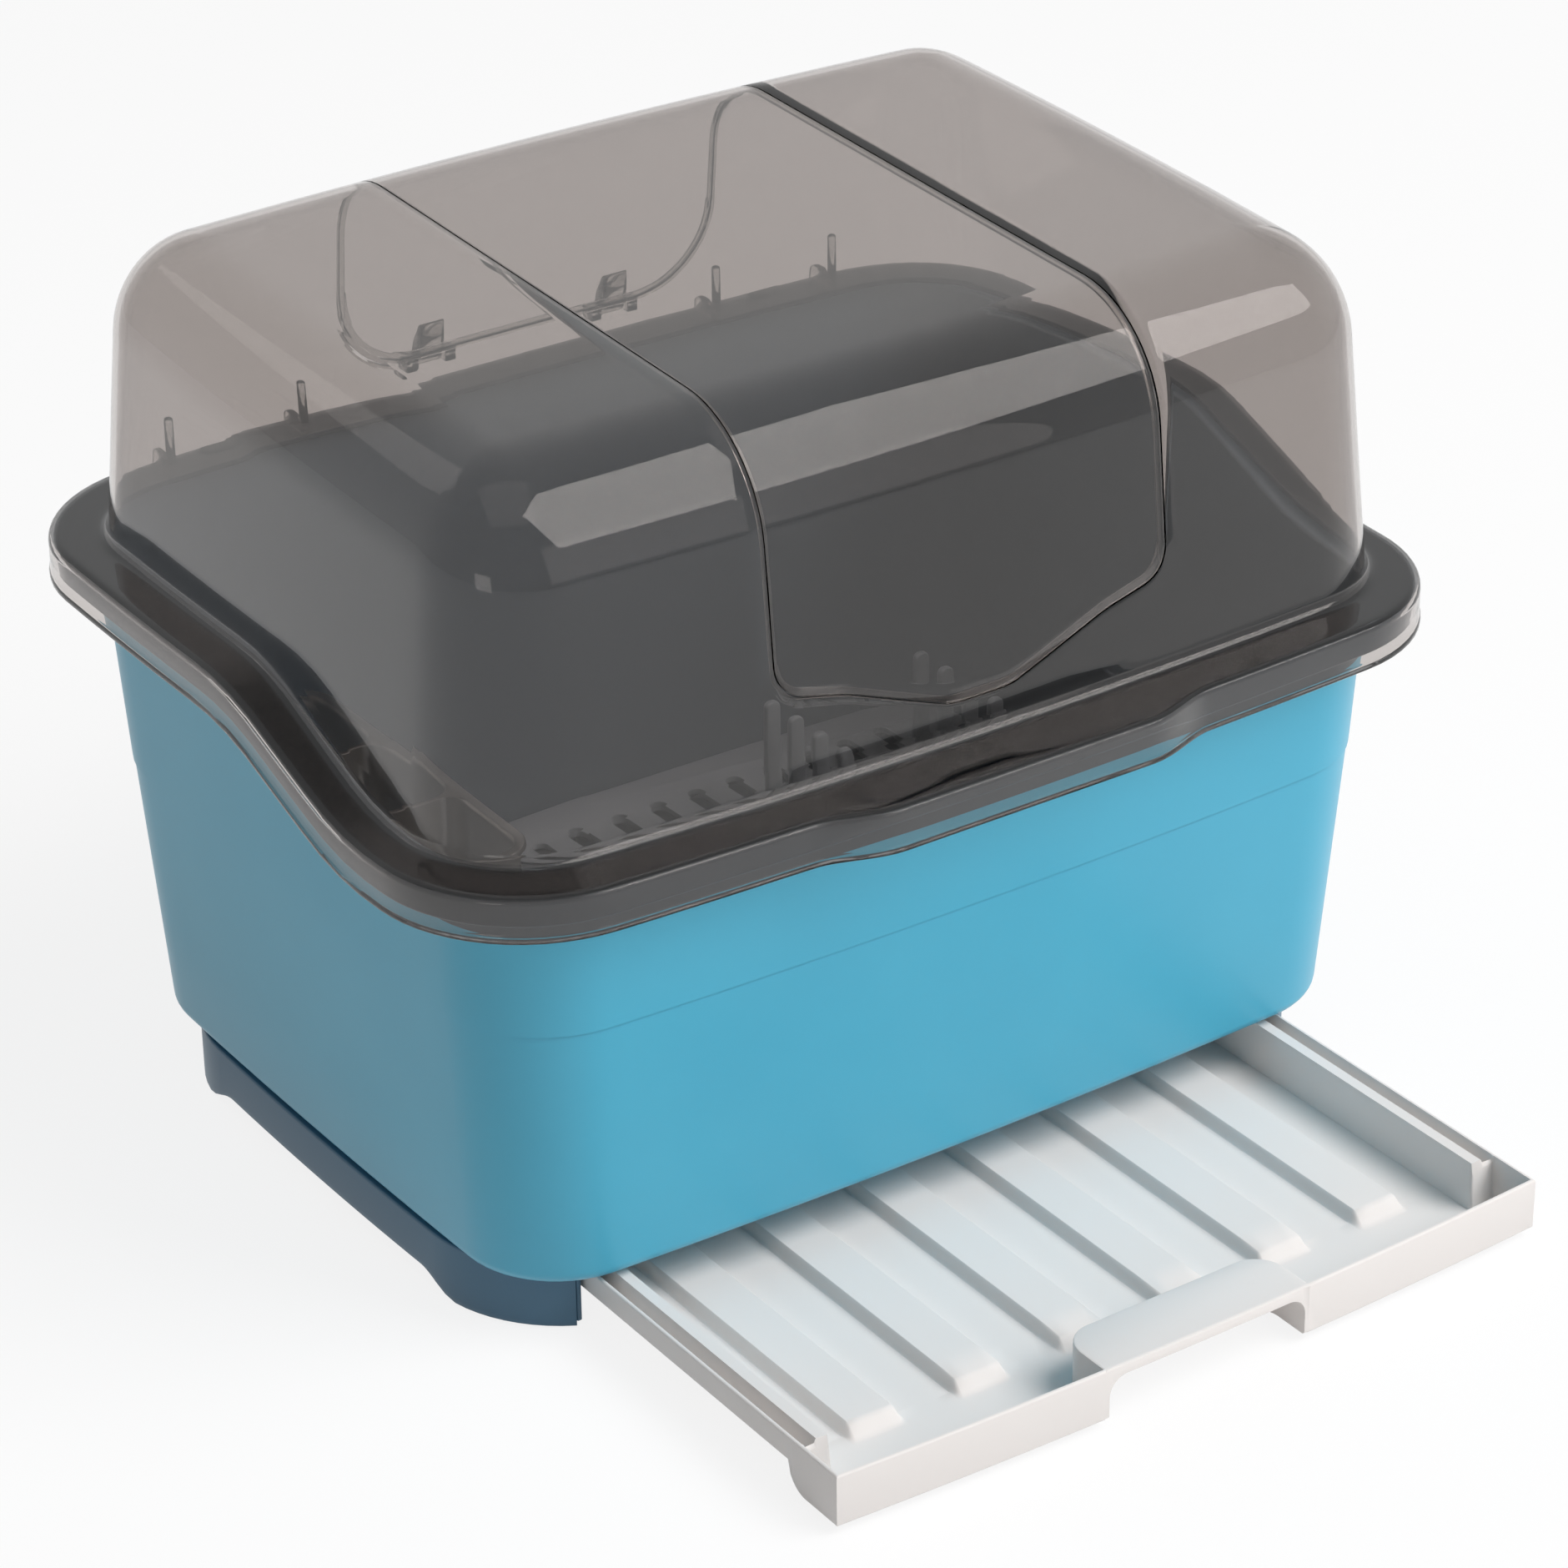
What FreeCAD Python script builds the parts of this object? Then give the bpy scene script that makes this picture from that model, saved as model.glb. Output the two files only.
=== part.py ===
"""Covered dish drying rack: tub on a plinth, drip tray, lift-out inserts, clear lid with a flip door.

Units are millimetres. The ground is z = 0, x = 0 is the middle plane and the front is towards -Y. The
tray is modelled pulled out and the lid closed, and y = 0 is the middle of the footprint in that state.
"""
import FreeCAD, Part
import math
import os

import Sketcher

doc = FreeCAD.newDocument("dish_drying_rack")
sheet = doc.addObject("Spreadsheet::Sheet", "Sizes")

# Driving sizes: alias, value, what it is
SIZES = [
    # Outline bows: how far the long walls bulge over a straight line
    ("bow_side", 2.1, "bulge of the side walls of rim and lid"),
    ("bow_front", 5.0, "bulge of the front and rear walls of rim and lid"),
    ("bow_low_side", 1.5, "bulge of the side walls at the tub's foot"),
    ("bow_low_front", 3.5, "bulge of the front and rear walls at the tub's foot"),
    # Rim that dips towards the front
    ("rim_height", 213.8, "top of the tub's flange at the front"),
    ("rim_rise", 30.2, "how much higher the rim is at the rear"),
    ("rise_front_y", -89.7, "where the rim's slope begins, corner of the bend"),
    ("rise_rear_y", -10.6, "where the rim's slope ends, corner of the bend"),
    ("rise_bend", 115.0, "radius of the two bends of the rim"),
    # Tub
    ("tub_in_x", 35.0, "distance of the tub's foot from the lid's lip at the sides"),
    ("tub_in_y", 31.5, "distance of the tub's foot from the lid's lip at front and rear"),
    ("tub_corner", 43.3, "corner radius of the tub's foot"),
    ("tub_bottom", 28.0, "underside of the tub"),
    ("tub_draft_x", 0.066, "slope of the tub's side walls"),
    ("tub_draft_y", 0.071, "slope of the tub's front and rear walls"),
    ("tub_corner_growth", 0.0256, "growth of the corner radius with height"),
    ("tub_wall", 2.6, "wall of the tub"),
    ("tub_floor", 3.0, "floor of the tub"),
    ("tub_edge_round", 6.0, "rounding of the tub's bottom edge"),
    ("tub_flange", 2.5, "thickness of the tub's flange"),
    ("tub_lip_drop", 11.0, "height of the tub's downturned rim edge"),
    ("form_over", 18.0, "how far the tub's form stands over the rear rim before it is cut"),
    ("floor_slot_wide", 6.0, "width of a drain slot in the tub's floor"),
    ("floor_slot_end", 39.5, "distance of the floor slots' ends from the tub's foot along Y"),
    ("floor_slot_bridge", 20.0, "bridge between two rows of floor slots"),
    ("floor_slot_side", 43.0, "distance of the outer floor slots from the screw towers along X"),
    ("floor_slot_columns", 13, "floor slots along X"),
    ("floor_slot_rows", 3, "floor slots along Y"),
    ("slot_end", 0.49, "rounding of a slot's ends as a share of its width"),
    # Plinth
    ("base_in_x", 0.0, "how far the plinth stands in from the tub's foot at the sides"),
    ("base_in_y", 7.0, "how far the plinth stands in from the tub's foot at front and rear"),
    ("base_corner", 62.0, "corner radius of the plinth"),
    ("base_wall", 3.0, "wall of the plinth"),
    ("base_deck", 2.5, "deck that the tub stands on"),
    ("base_clear", 1.0, "gap between the plinth's lower edge and the ground"),
    ("arch_height", 8.0, "lower edge of the plinth between its feet"),
    ("arch_in_y", 17.0, "distance of the sides' raised edge from the screws along Y"),
    ("arch_in_x", 57.0, "distance of the rear's raised edge from the screws along X"),
    ("arch_slope", 14.0, "length of the slope from a foot to the raised edge"),
    ("arch_round", 11.0, "rounding of the raised edge's bends"),
    ("web_wall", 2.4, "wall of the tray's guide webs"),
    ("web_gap", 2.1, "gap between the tray's strips and the guide webs"),
    ("web_clear", 3.0, "lower edge of the guide webs above the ground"),
    ("web_in_y", 7.0, "distance of the webs' front ends from the plinth's front"),
    ("rail_wall", 2.5, "thickness of the rails under the tray's strips"),
    ("rail_gap", 0.3, "gap between tray and rails"),
    ("rail_side_gap", 1.1, "gap between the rails and the tray's pan"),
    ("tray_end_gap", 1.0, "gap behind the closed tray"),
    ("stop_reach", 1.6, "reach of the tray's stops"),
    ("stop_long", 4.0, "length of a tray stop"),
    ("stop_inset", 1.0, "distance of the stops from the channel's floor and the tray's top"),
    ("boss_in_x", 18.2, "distance of the screw bosses from the plinth's side"),
    ("boss_in_y", 45.5, "distance of the screw bosses from the plinth's front or rear"),
    ("boss_radius", 10.0, "outer radius of a screw boss"),
    ("boss_bore", 7.0, "radius of the pocket for pad stem and screw head"),
    ("boss_deep", 8.0, "distance of the screw head's seat from the tub"),
    ("tower_radius", 5.0, "radius of the screw towers inside the tub"),
    ("tower_height", 9.0, "height of the screw towers above the tub's floor"),
    ("pad_radius", 9.6, "radius of a foot pad"),
    ("pad_thick", 2.6, "thickness of a foot pad under its boss"),
    ("pad_stem", 5.5, "length of the pad's stem in the boss"),
    ("screw_radius", 1.9, "shank radius of the screws"),
    ("screw_head", 4.0, "head radius of the screws"),
    ("screw_head_high", 2.6, "head height of the screws"),
    ("screw_long", 15.0, "shank length of the screws"),
    ("screw_recess", 1.0, "width of the screw's cross recess"),
    ("recess_reach", 2.4, "reach of the recess's arms from the screw's axis"),
    ("recess_deep", 1.6, "depth of the recess"),
    ("screw_play", 0.4, "room around and beyond a screw's shank"),
    # Tray
    ("tray_in_x", 37.7, "distance of the tray's side from the plinth's side"),
    ("tray_proud", 3.5, "how far the closed tray's front corners stand before the plinth"),
    ("tray_bow", 5.0, "bulge of the tray's front panel"),
    ("tray_rear_room", 10.5, "distance of the closed tray's rear from the plinth's rear"),
    ("tray_head", 2.0, "gap between tray and tub"),
    ("tray_low", 3.9, "underside of the tray"),
    ("tray_skin", 1.6, "floor of the tray"),
    ("tray_wall", 2.0, "outer wall of the tray"),
    ("tray_travel", 150.0, "travel of the tray from open to closed"),
    ("strip_deep", 10.5, "height of the tray's side strips"),
    ("strip_skin", 1.5, "floor of the tray's side strips"),
    ("rib_out", 7.1, "distance of the inner ribs' outer face from the tray's side"),
    ("rib_in", 13.0, "distance of the inner ribs' inner face from the tray's side"),
    ("rib_back", 22.0, "distance of the ribs' front ends from the tray's front"),
    ("apron_back", 31.0, "how far the front apron returns along the sides"),
    ("apron_round", 11.0, "rounding of the lower rear corner of the apron's return"),
    ("ridge_count", 6, "ridges in the tray"),
    ("ridge_wide", 24.0, "width of a ridge in the tray"),
    ("ridge_left", 20.1, "distance of the first ridge from the left rib"),
    ("ridge_right", 20.4, "distance of the last ridge from the right rib"),
    ("ridge_high", 5.0, "height of a ridge"),
    ("ridge_back", 36.0, "distance of the ridges' front ends from the tray's front"),
    ("ridge_slope", 6.0, "length of the ridges' sloped ends"),
    ("tab_half_x", 47.0, "half width of the pull recess"),
    ("tab_deep", 22.0, "depth of the pull recess behind the tray's front chord"),
    ("tab_plate", 2.5, "thickness of the pull tab's top plate"),
    ("tab_lip", 6.0, "height of the pull tab's front lip"),
    ("tab_round", 13.0, "rounding of the recess's rear corners"),
    # Drain grid
    ("grid_stand", 15.0, "height of the drain grid over the tub's floor"),
    ("grid_skin", 2.6, "plate of the drain grid"),
    ("grid_gap", 2.0, "gap between the grid and the tub's walls"),
    ("grid_edge", 5.0, "height of the grid's downturned edge"),
    ("grid_slot_wide", 8.0, "width of a slot in the grid"),
    ("grid_slot_end", 2.0, "gap between the grid's slots and its front and rear legs"),
    ("grid_slot_bridge", 18.0, "bridge between two rows of the grid's slots"),
    ("grid_slot_side", 19.0, "distance of the outer slots' middle from the side legs"),
    ("grid_slot_columns", 17, "grid slots along X"),
    ("grid_slot_rows", 3, "grid slots along Y"),
    ("leg_radius", 5.0, "radius of the grid's legs"),
    ("leg_in_x", 85.2, "distance of the grid's corner legs from the tub's foot along X"),
    ("leg_in_y", 19.5, "distance of the grid's front and rear legs from the tub's foot"),
    ("leg_wide_in", 21.2, "distance of the grid's side legs from the tub's foot along X"),
    # Plate rack
    ("comb_in_x", 87.2, "distance of the plate rack's middle from the tub's foot along X"),
    ("comb_half", 40.0, "half distance of its two rails"),
    ("comb_in_y", 53.5, "distance of the plate rack's rear end from the tub's foot"),
    ("comb_bar", 8.0, "width and height of a rail"),
    ("fin_count", 10, "fins on each rail"),
    ("fin_step", 18.0, "pitch of the fins"),
    ("fin_thick", 4.0, "thickness of a fin"),
    ("fin_high", 46.0, "height of a fin above its rail"),
    ("fin_round", 3.2, "rounding of a fin's top"),
    # Cutlery holder
    ("holder_in_x", 10.2, "distance of the holder from the tub's foot along X"),
    ("holder_wide", 60.0, "width of the holder"),
    ("holder_in_y", 47.5, "distance of the holder's rear face from the tub's foot"),
    ("holder_long", 164.0, "length of the holder"),
    ("holder_high", 118.0, "height of the holder"),
    ("holder_wall", 2.2, "wall of the holder"),
    ("holder_round", 12.0, "corner radius of the holder"),
    ("holder_rim", 2.4, "reach of the holder's rim bead"),
    ("holder_rooms", 3, "compartments of the holder"),
    ("holder_hole", 3.0, "radius of the holder's drain holes"),
    ("holder_hole_step", 15.0, "pitch of the drain holes in a compartment"),
    # Lid
    ("lid_half_x", 240.2, "half width over the lid's lip"),
    ("lid_half_y", 187.0, "half depth over the lid's lip"),
    ("lid_corner", 66.0, "corner radius of the lid's lip"),
    ("lid_wall", 2.2, "wall of the lid"),
    ("lid_rest", 0.3, "gap between the lid's flange and the tub's flange"),
    ("lid_lip", 18.7, "height of the lid's lip"),
    ("lip_gap", 1.5, "gap between the lid's lip and the tub's rim"),
    ("grip_half", 64.0, "half width of the grip bulge at its crest"),
    ("grip_foot", 92.0, "half width of the grip bulge at its foot"),
    ("grip_reach", 7.5, "reach of the grip bulge"),
    ("grip_round", 42.0, "rounding of the grip bulge"),
    ("dome_base_up", 1.8, "height above the rim's front at which the dome's outline is measured"),
    ("dome_in_x", 18.6, "width of the flange beside the dome at its base"),
    ("dome_in_y", 23.1, "width of the flange before and behind the dome at its base"),
    ("dome_corner", 50.2, "corner radius of the dome at its base"),
    ("dome_draft_x", 0.083, "slope of the dome's side walls"),
    ("dome_draft_y", 0.105, "slope of the dome's front and rear walls"),
    ("dome_high", 149.05, "height of the dome over its base at y = 0"),
    ("dome_tilt", 0.0477, "rise of the top towards the rear"),
    ("dome_round", 43.0, "rounding between walls and top"),
    ("peg_radius", 1.9, "radius of the pegs on the rear flange"),
    ("peg_high", 24.5, "height of the pegs"),
    ("peg_door_gap", 11.4, "distance of the inner pegs from the door's side"),
    ("peg_apart", 61.0, "distance between an inner and an outer peg"),
    ("peg_out", 1.6, "distance of the pegs from the dome's outline at its base"),
    ("peg_rib", 3.0, "thickness of the rib behind a peg"),
    ("peg_lobe", 6.5, "height of the rib's rounded end"),
    ("peg_lobe_long", 9.75, "length of the rib's rounded end"),
    ("peg_lobe_round", 3.9, "rounding of the rib's end"),
    ("strip_gap_in", 25.0, "distance of the raised strips from the inner pegs"),
    ("strip_gap_out", 20.0, "distance of the raised strips from the outer pegs"),
    ("strip_out", 7.6, "distance of the strips' front edge from the pegs' middle"),
    ("strip_wide", 5.7, "width of the strips"),
    # Door in the lid
    ("door_half", 90.6, "half width of the flip door"),
    ("door_wall", 1.9, "wall of the flip door"),
    ("door_gap", 0.6, "seam around the flip door"),
    ("shoulder_up", 40.4, "height over the dome's base of the front edge's outer corners"),
    ("door_shoulder_round", 14.0, "rounding of those corners"),
    ("door_wave_x", 60.0, "where the finger wave begins"),
    ("wave_up", 33.4, "height of the front edge over the dome's base where the wave begins"),
    ("door_wave_round", 40.0, "rounding of the wave's upper bend"),
    ("door_tab_x", 14.0, "half width of the finger tab"),
    ("tab_up", 16.4, "height of the finger tab's lowest point over the dome's base"),
    ("door_tab_round", 20.0, "rounding of the finger tab"),
    ("rear_up", 56.4, "height of the door's rear edge over the dome's base"),
    ("door_rear_round", 38.0, "rounding of its rear corners"),
    ("ledge_out", 5.0, "overlap of the inner ledge with the lid"),
    ("ledge_in", 4.0, "overlap of the inner ledge with the door"),
    ("ledge_wall", 1.2, "thickness of the inner ledge"),
    ("pin_x", 45.0, "place of the two hinges along X"),
    ("pin_drop", 4.0, "depth of the hinge axis under the door's rear edge"),
    ("pin_out", 4.6, "distance of the hinge axis from the dome's wall"),
    ("pin_radius", 1.5, "radius of the hinge pins"),
    ("pin_play", 0.05, "play of the pins in the door's knuckles"),
    ("knuckle_radius", 3.5, "outer radius of the knuckles"),
    ("knuckle_wide", 12.0, "width of a door knuckle"),
    ("lug_wide", 5.0, "width of a lug beside the knuckle"),
    ("lug_gap", 0.5, "side gap between knuckle and lug"),
    ("lug_bite", 1.6, "how far a lug's web reaches into the dome's wall"),
    ("arm_half", 2.8, "half width of a knuckle's arm at the knuckle"),
    ("arm_rise", 2.1, "height of the arm's lower face over the hinge axis"),
    ("arm_bite_low", 1.5, "how far the arm reaches into the door at its lower end"),
    ("arm_bite_high", 2.3, "how far the arm reaches into the door at its upper end"),
    ("arm_high", 14.0, "height of the arm over the door's rear edge"),
]
# Sizes that follow from others
TIES = [
    ("form_top", "rim_height + rim_rise + form_over", "top of the tub's form, above the rim"),
    ("tub_half_x", "lid_half_x - tub_in_x", "half width of the tub's foot"),
    ("tub_half_y", "lid_half_y - tub_in_y", "half depth of the tub's foot"),
    (
        "floor_slot_long",
        "(2 * (tub_half_y - floor_slot_end) - (floor_slot_rows - 1) * floor_slot_bridge) / floor_slot_rows",
        "length of a drain slot in the tub's floor",
    ),
    ("floor_slot_step_y", "floor_slot_long + floor_slot_bridge", "pitch of the floor's slots along Y"),
    ("base_half_x", "tub_half_x - base_in_x", "half width of the plinth"),
    ("base_half_y", "tub_half_y - base_in_y", "half depth of the plinth"),
    ("web_front_y", "web_in_y - base_half_y", "front end of the guide webs"),
    ("boss_x", "base_half_x - boss_in_x", "place of the screw bosses along X"),
    ("boss_y", "base_half_y - boss_in_y", "place of the screw bosses along Y"),
    ("boss_seat", "tub_bottom - boss_deep", "height of the seat of the screw head"),
    ("tray_half_x", "base_half_x - tray_in_x", "half width of the tray"),
    (
        "tray_front",
        "tray_travel + base_half_y + tray_proud",
        "distance of the open tray's front corners from the tub's middle",
    ),
    ("tray_long", "2 * base_half_y + tray_proud - tray_rear_room", "length of the tray"),
    ("tray_top", "tub_bottom - tray_head", "top of the tray"),
    ("strip_low", "tray_top - strip_deep", "underside of the tray's side strips"),
    ("channel_floor", "strip_low + strip_skin", "floor of the tray's side channels"),
    ("rib_outer", "tray_half_x - rib_out", "outer face of the tray's inner ribs"),
    ("rib_inner", "tray_half_x - rib_in", "inner face of the tray's inner ribs"),
    ("rib_front", "tray_front - rib_back", "distance of the ribs' rounded front ends from the middle"),
    (
        "ridge_step",
        "(2 * rib_inner - ridge_left - ridge_right - ridge_wide) / (ridge_count - 1)",
        "pitch of the ridges",
    ),
    ("ridge_first", "ridge_left - rib_inner", "left edge of the first ridge"),
    ("ridge_front", "tray_front - ridge_back", "distance of the ridges' front ends from the middle"),
    ("grid_top", "tub_bottom + tub_floor + grid_stand", "top of the drain grid"),
    ("leg_y", "tub_half_y - leg_in_y", "place of the grid's front and rear legs along Y"),
    ("leg_x", "tub_half_x - leg_in_x", "place of the grid's corner legs along X"),
    ("leg_wide_x", "tub_half_x - leg_wide_in", "place of the grid's side legs along X"),
    (
        "grid_slot_long",
        "(2 * (leg_y - leg_radius - grid_slot_end) - (grid_slot_rows - 1) * grid_slot_bridge) / "
        "grid_slot_rows",
        "length of a slot in the grid",
    ),
    ("grid_step_y", "grid_slot_long + grid_slot_bridge", "pitch of the grid's slots along Y"),
    (
        "grid_step_x",
        "2 * (leg_wide_x - leg_radius - grid_slot_side) / (grid_slot_columns - 1)",
        "pitch of the grid's slots along X",
    ),
    ("comb_x", "tub_half_x - comb_in_x", "middle of the plate rack along X"),
    ("comb_long", "(fin_count - 1) * fin_step + fin_thick + 2 * comb_bar", "length of the plate rack"),
    ("holder_left", "holder_in_x - tub_half_x", "left face of the holder"),
    ("holder_front", "tub_half_y - holder_in_y - holder_long", "front face of the holder"),
    ("dome_base", "rim_height + dome_base_up", "height at which the dome's outline is measured"),
    ("dome_half_x", "lid_half_x - dome_in_x", "half width of the dome at its base"),
    ("dome_half_y", "lid_half_y - dome_in_y", "half depth of the dome at its base"),
    ("dome_top", "dome_base + dome_high", "height of the dome's top at y = 0"),
    ("peg_inner_x", "door_half + peg_door_gap", "place of the inner pegs"),
    ("peg_outer_x", "peg_inner_x + peg_apart", "place of the outer pegs"),
    ("peg_y", "dome_half_y + peg_out", "place of the pegs along Y"),
    ("strip_in_x", "peg_inner_x + strip_gap_in", "inner end of the raised strips between the pegs"),
    ("strip_out_x", "peg_outer_x - strip_gap_out", "outer end of those strips"),
    ("strip_front_y", "peg_y + strip_out", "front edge of those strips"),
    ("strip_rear_y", "strip_front_y + strip_wide", "rear edge of those strips"),
    ("door_shoulder", "dome_base + shoulder_up", "height of the front edge's outer corners"),
    ("door_wave_z", "dome_base + wave_up", "height of the front edge there"),
    ("door_tab_z", "dome_base + tab_up", "lowest point of the finger tab"),
    ("door_rear", "dome_base + rear_up", "height of the door's rear edge"),
    (
        "floor_slot_step_x",
        "2 * (boss_x - floor_slot_side) / (floor_slot_columns - 1)",
        "pitch of the floor's slots along X",
    ),
    ("arch_half_y", "boss_y - arch_in_y", "half length of the raised lower edge at the sides"),
    ("arch_half_x", "boss_x - arch_in_x", "half length of the raised lower edge at the rear"),
    ("comb_front", "tub_half_y - comb_in_y - comb_long", "front end of the rails"),
]
for row, (alias, value, note) in enumerate(SIZES, start=1):
    sheet.set(f"A{row}", note)
    sheet.set(f"B{row}", str(value))
    sheet.setAlias(f"B{row}", alias)
doc.recompute()
for row, (alias, formula, note) in enumerate(TIES, start=len(SIZES) + 1):
    sheet.set(f"A{row}", note)
    sheet.set(f"B{row}", "=" + formula)
    sheet.setAlias(f"B{row}", alias)
    doc.recompute()

# Flat steps that make up the rounding of the tub's bottom edge
EDGE_FACETS = 3
# Distance under which an edge counts as lying in a plane
NEAR = 0.1

ALIASES = {alias for alias, _, _ in SIZES + TIES}


def bound(formula):
    """Write a formula of size names the way an object's expression needs it."""
    text = ""
    word = ""
    for letter in formula + " ":
        if letter.isalnum() or letter == "_":
            word += letter
            continue
        text += "Sizes." + word if word in ALIASES else word
        word = ""
        text += letter
    return text.strip()


def size(formula):
    """Value of a formula of size names, in millimetres."""
    return float(sheet.evalExpression(bound(formula)))


def bind(thing, **formulas):
    """Tie properties of an object to the sheet; a double underscore stands for a dot."""
    for name, formula in formulas.items():
        thing.setExpression(name.replace("__", "."), bound(formula))


def new_body(name):
    return doc.addObject("PartDesign::Body", name)


def new_sketch(body, name, plane="XY_Plane", height="0"):
    """Sketch on one of the body's own planes, moved along that plane's normal."""
    sketch = body.newObject("Sketcher::SketchObject", name)
    for feature in body.Origin.OriginFeatures:
        if feature.Role == plane:
            sketch.AttachmentSupport = [(feature, "")]
    sketch.MapMode = "FlatFace"
    bind(sketch, AttachmentOffset__Base__z=height)
    return sketch


def fix_point(sketch, geometry, position, x, y):
    """Hold a point of the sketch at a place given by two formulas."""
    for kind, formula in (("DistanceX", x), ("DistanceY", y)):
        index = sketch.addConstraint(Sketcher.Constraint(kind, -1, 1, geometry, position, size(formula)))
        sketch.setExpression(f"Constraints[{index}]", bound(formula))


def fix_radius(sketch, geometry, formula):
    index = sketch.addConstraint(Sketcher.Constraint("Radius", geometry, size(formula)))
    sketch.setExpression(f"Constraints[{index}]", bound(formula))


def draw_polygon(sketch, corners):
    """Closed outline through corners (x, y, radius), each a formula; radius None is a sharp corner.

    A construction point marks each corner. The straight sides run through those points, and a round
    corner is an arc tangent to both of its sides.
    """
    points = [FreeCAD.Vector(size(x), size(y), 0) for x, y, _ in corners]
    count = len(corners)
    starts, ends, centres = [], [], []
    for index, (_, _, radius) in enumerate(corners):
        here = points[index]
        back = (points[index - 1] - here).normalize()
        ahead = (points[(index + 1) % count] - here).normalize()
        reach = 0.0
        centre = here
        if radius is not None:
            half = back.getAngle(ahead) / 2
            reach = size(radius) / math.tan(half)
            centre = here + (back + ahead).normalize() * (size(radius) / math.sin(half))
        ends.append(here + back * reach)
        starts.append(here + ahead * reach)
        centres.append(centre)
    sides = []
    for index in range(count):
        line = Part.LineSegment(starts[index], ends[(index + 1) % count])
        sides.append(sketch.addGeometry(line, False))
    for index, (x, y, radius) in enumerate(corners):
        marker = sketch.addGeometry(Part.Point(points[index]), True)
        fix_point(sketch, marker, 1, x, y)
        before = sides[index - 1]
        after = sides[index]
        if radius is None:
            sketch.addConstraint(Sketcher.Constraint("Coincident", before, 2, marker, 1))
            sketch.addConstraint(Sketcher.Constraint("Coincident", after, 1, marker, 1))
            continue
        centre = centres[index]
        way_in, way_out = points[index] - points[index - 1], points[(index + 1) % count] - points[index]
        left_turn = way_in.cross(way_out).z > 0
        first, last = (ends[index], starts[index]) if left_turn else (starts[index], ends[index])
        angles = [math.atan2(point.y - centre.y, point.x - centre.x) for point in (first, last)]
        if angles[1] < angles[0]:
            angles[1] += 2 * math.pi
        circle = Part.Circle(centre, FreeCAD.Vector(0, 0, 1), size(radius))
        arc = sketch.addGeometry(Part.ArcOfCircle(circle, *angles), False)
        sketch.addConstraint(Sketcher.Constraint("Tangent", before, 2, arc, 1 if left_turn else 2))
        sketch.addConstraint(Sketcher.Constraint("Tangent", after, 1, arc, 2 if left_turn else 1))
        sketch.addConstraint(Sketcher.Constraint("PointOnObject", marker, 1, before))
        sketch.addConstraint(Sketcher.Constraint("PointOnObject", marker, 1, after))
        fix_radius(sketch, arc, radius)


def draw_bowed(sketch, half_x, half_y, corner, bow_x, bow_y):
    """Rounded rectangle whose four sides are long arcs, with half_x and half_y at their crests."""
    long_side = f"((({half_x}) - ({corner}))^2 + ({bow_y})^2) / (2 * ({bow_y}))"
    short_side = f"((({half_y}) - ({corner}))^2 + ({bow_x})^2) / (2 * ({bow_x}))"
    radius = size(corner)
    big_y, big_x = size(long_side), size(short_side)
    front_centre = FreeCAD.Vector(0, size(half_y) - big_y, 0)
    side_centre = FreeCAD.Vector(size(half_x) - big_x, 0, 0)
    apart = side_centre - front_centre
    along = ((big_y - radius) ** 2 - (big_x - radius) ** 2 + apart.Length**2) / (2 * apart.Length)
    off = math.sqrt((big_y - radius) ** 2 - along**2)
    unit = FreeCAD.Vector(apart).normalize()
    centre = front_centre + unit * along + FreeCAD.Vector(unit.y, -unit.x, 0) * off
    side_angle = math.atan2(centre.y, centre.x - side_centre.x)
    rear_angle = math.atan2(centre.y - front_centre.y, centre.x)
    quarter = math.pi / 2

    def arc(x, y, r, start, end):
        circle = Part.Circle(FreeCAD.Vector(x, y, 0), FreeCAD.Vector(0, 0, 1), r)
        return sketch.addGeometry(Part.ArcOfCircle(circle, start, end), False)

    right = arc(side_centre.x, 0, big_x, -side_angle, side_angle)
    corner_1 = arc(centre.x, centre.y, radius, side_angle, rear_angle)
    rear = arc(0, front_centre.y, big_y, rear_angle, 2 * quarter - rear_angle)
    corner_2 = arc(-centre.x, centre.y, radius, 2 * quarter - rear_angle, 2 * quarter - side_angle)
    left = arc(-side_centre.x, 0, big_x, 2 * quarter - side_angle, 2 * quarter + side_angle)
    corner_3 = arc(-centre.x, -centre.y, radius, 2 * quarter + side_angle, 2 * quarter + rear_angle)
    front = arc(0, -front_centre.y, big_y, rear_angle - 2 * quarter, -rear_angle)
    corner_4 = arc(centre.x, -centre.y, radius, -rear_angle, -side_angle)
    ring = [right, corner_1, rear, corner_2, left, corner_3, front, corner_4]
    for index, piece in enumerate(ring):
        sketch.addConstraint(Sketcher.Constraint("Tangent", piece, 2, ring[(index + 1) % 8], 1))
    for piece in (right, left):
        fix_radius(sketch, piece, short_side)
        sketch.addConstraint(Sketcher.Constraint("PointOnObject", piece, 3, -1))
    for piece in (rear, front):
        fix_radius(sketch, piece, long_side)
        sketch.addConstraint(Sketcher.Constraint("PointOnObject", piece, 3, -2))
    for piece in (corner_2, corner_3, corner_4):
        sketch.addConstraint(Sketcher.Constraint("Equal", corner_1, piece))
    fix_radius(sketch, corner_1, corner)
    places = (
        (right, "DistanceX", f"({half_x}) - {short_side}"),
        (left, "DistanceX", f"{short_side} - ({half_x})"),
        (rear, "DistanceY", f"({half_y}) - {long_side}"),
        (front, "DistanceY", f"{long_side} - ({half_y})"),
    )
    for piece, kind, formula in places:
        index = sketch.addConstraint(Sketcher.Constraint(kind, -1, 1, piece, 3, size(formula)))
        sketch.setExpression(f"Constraints[{index}]", bound(formula))


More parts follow.
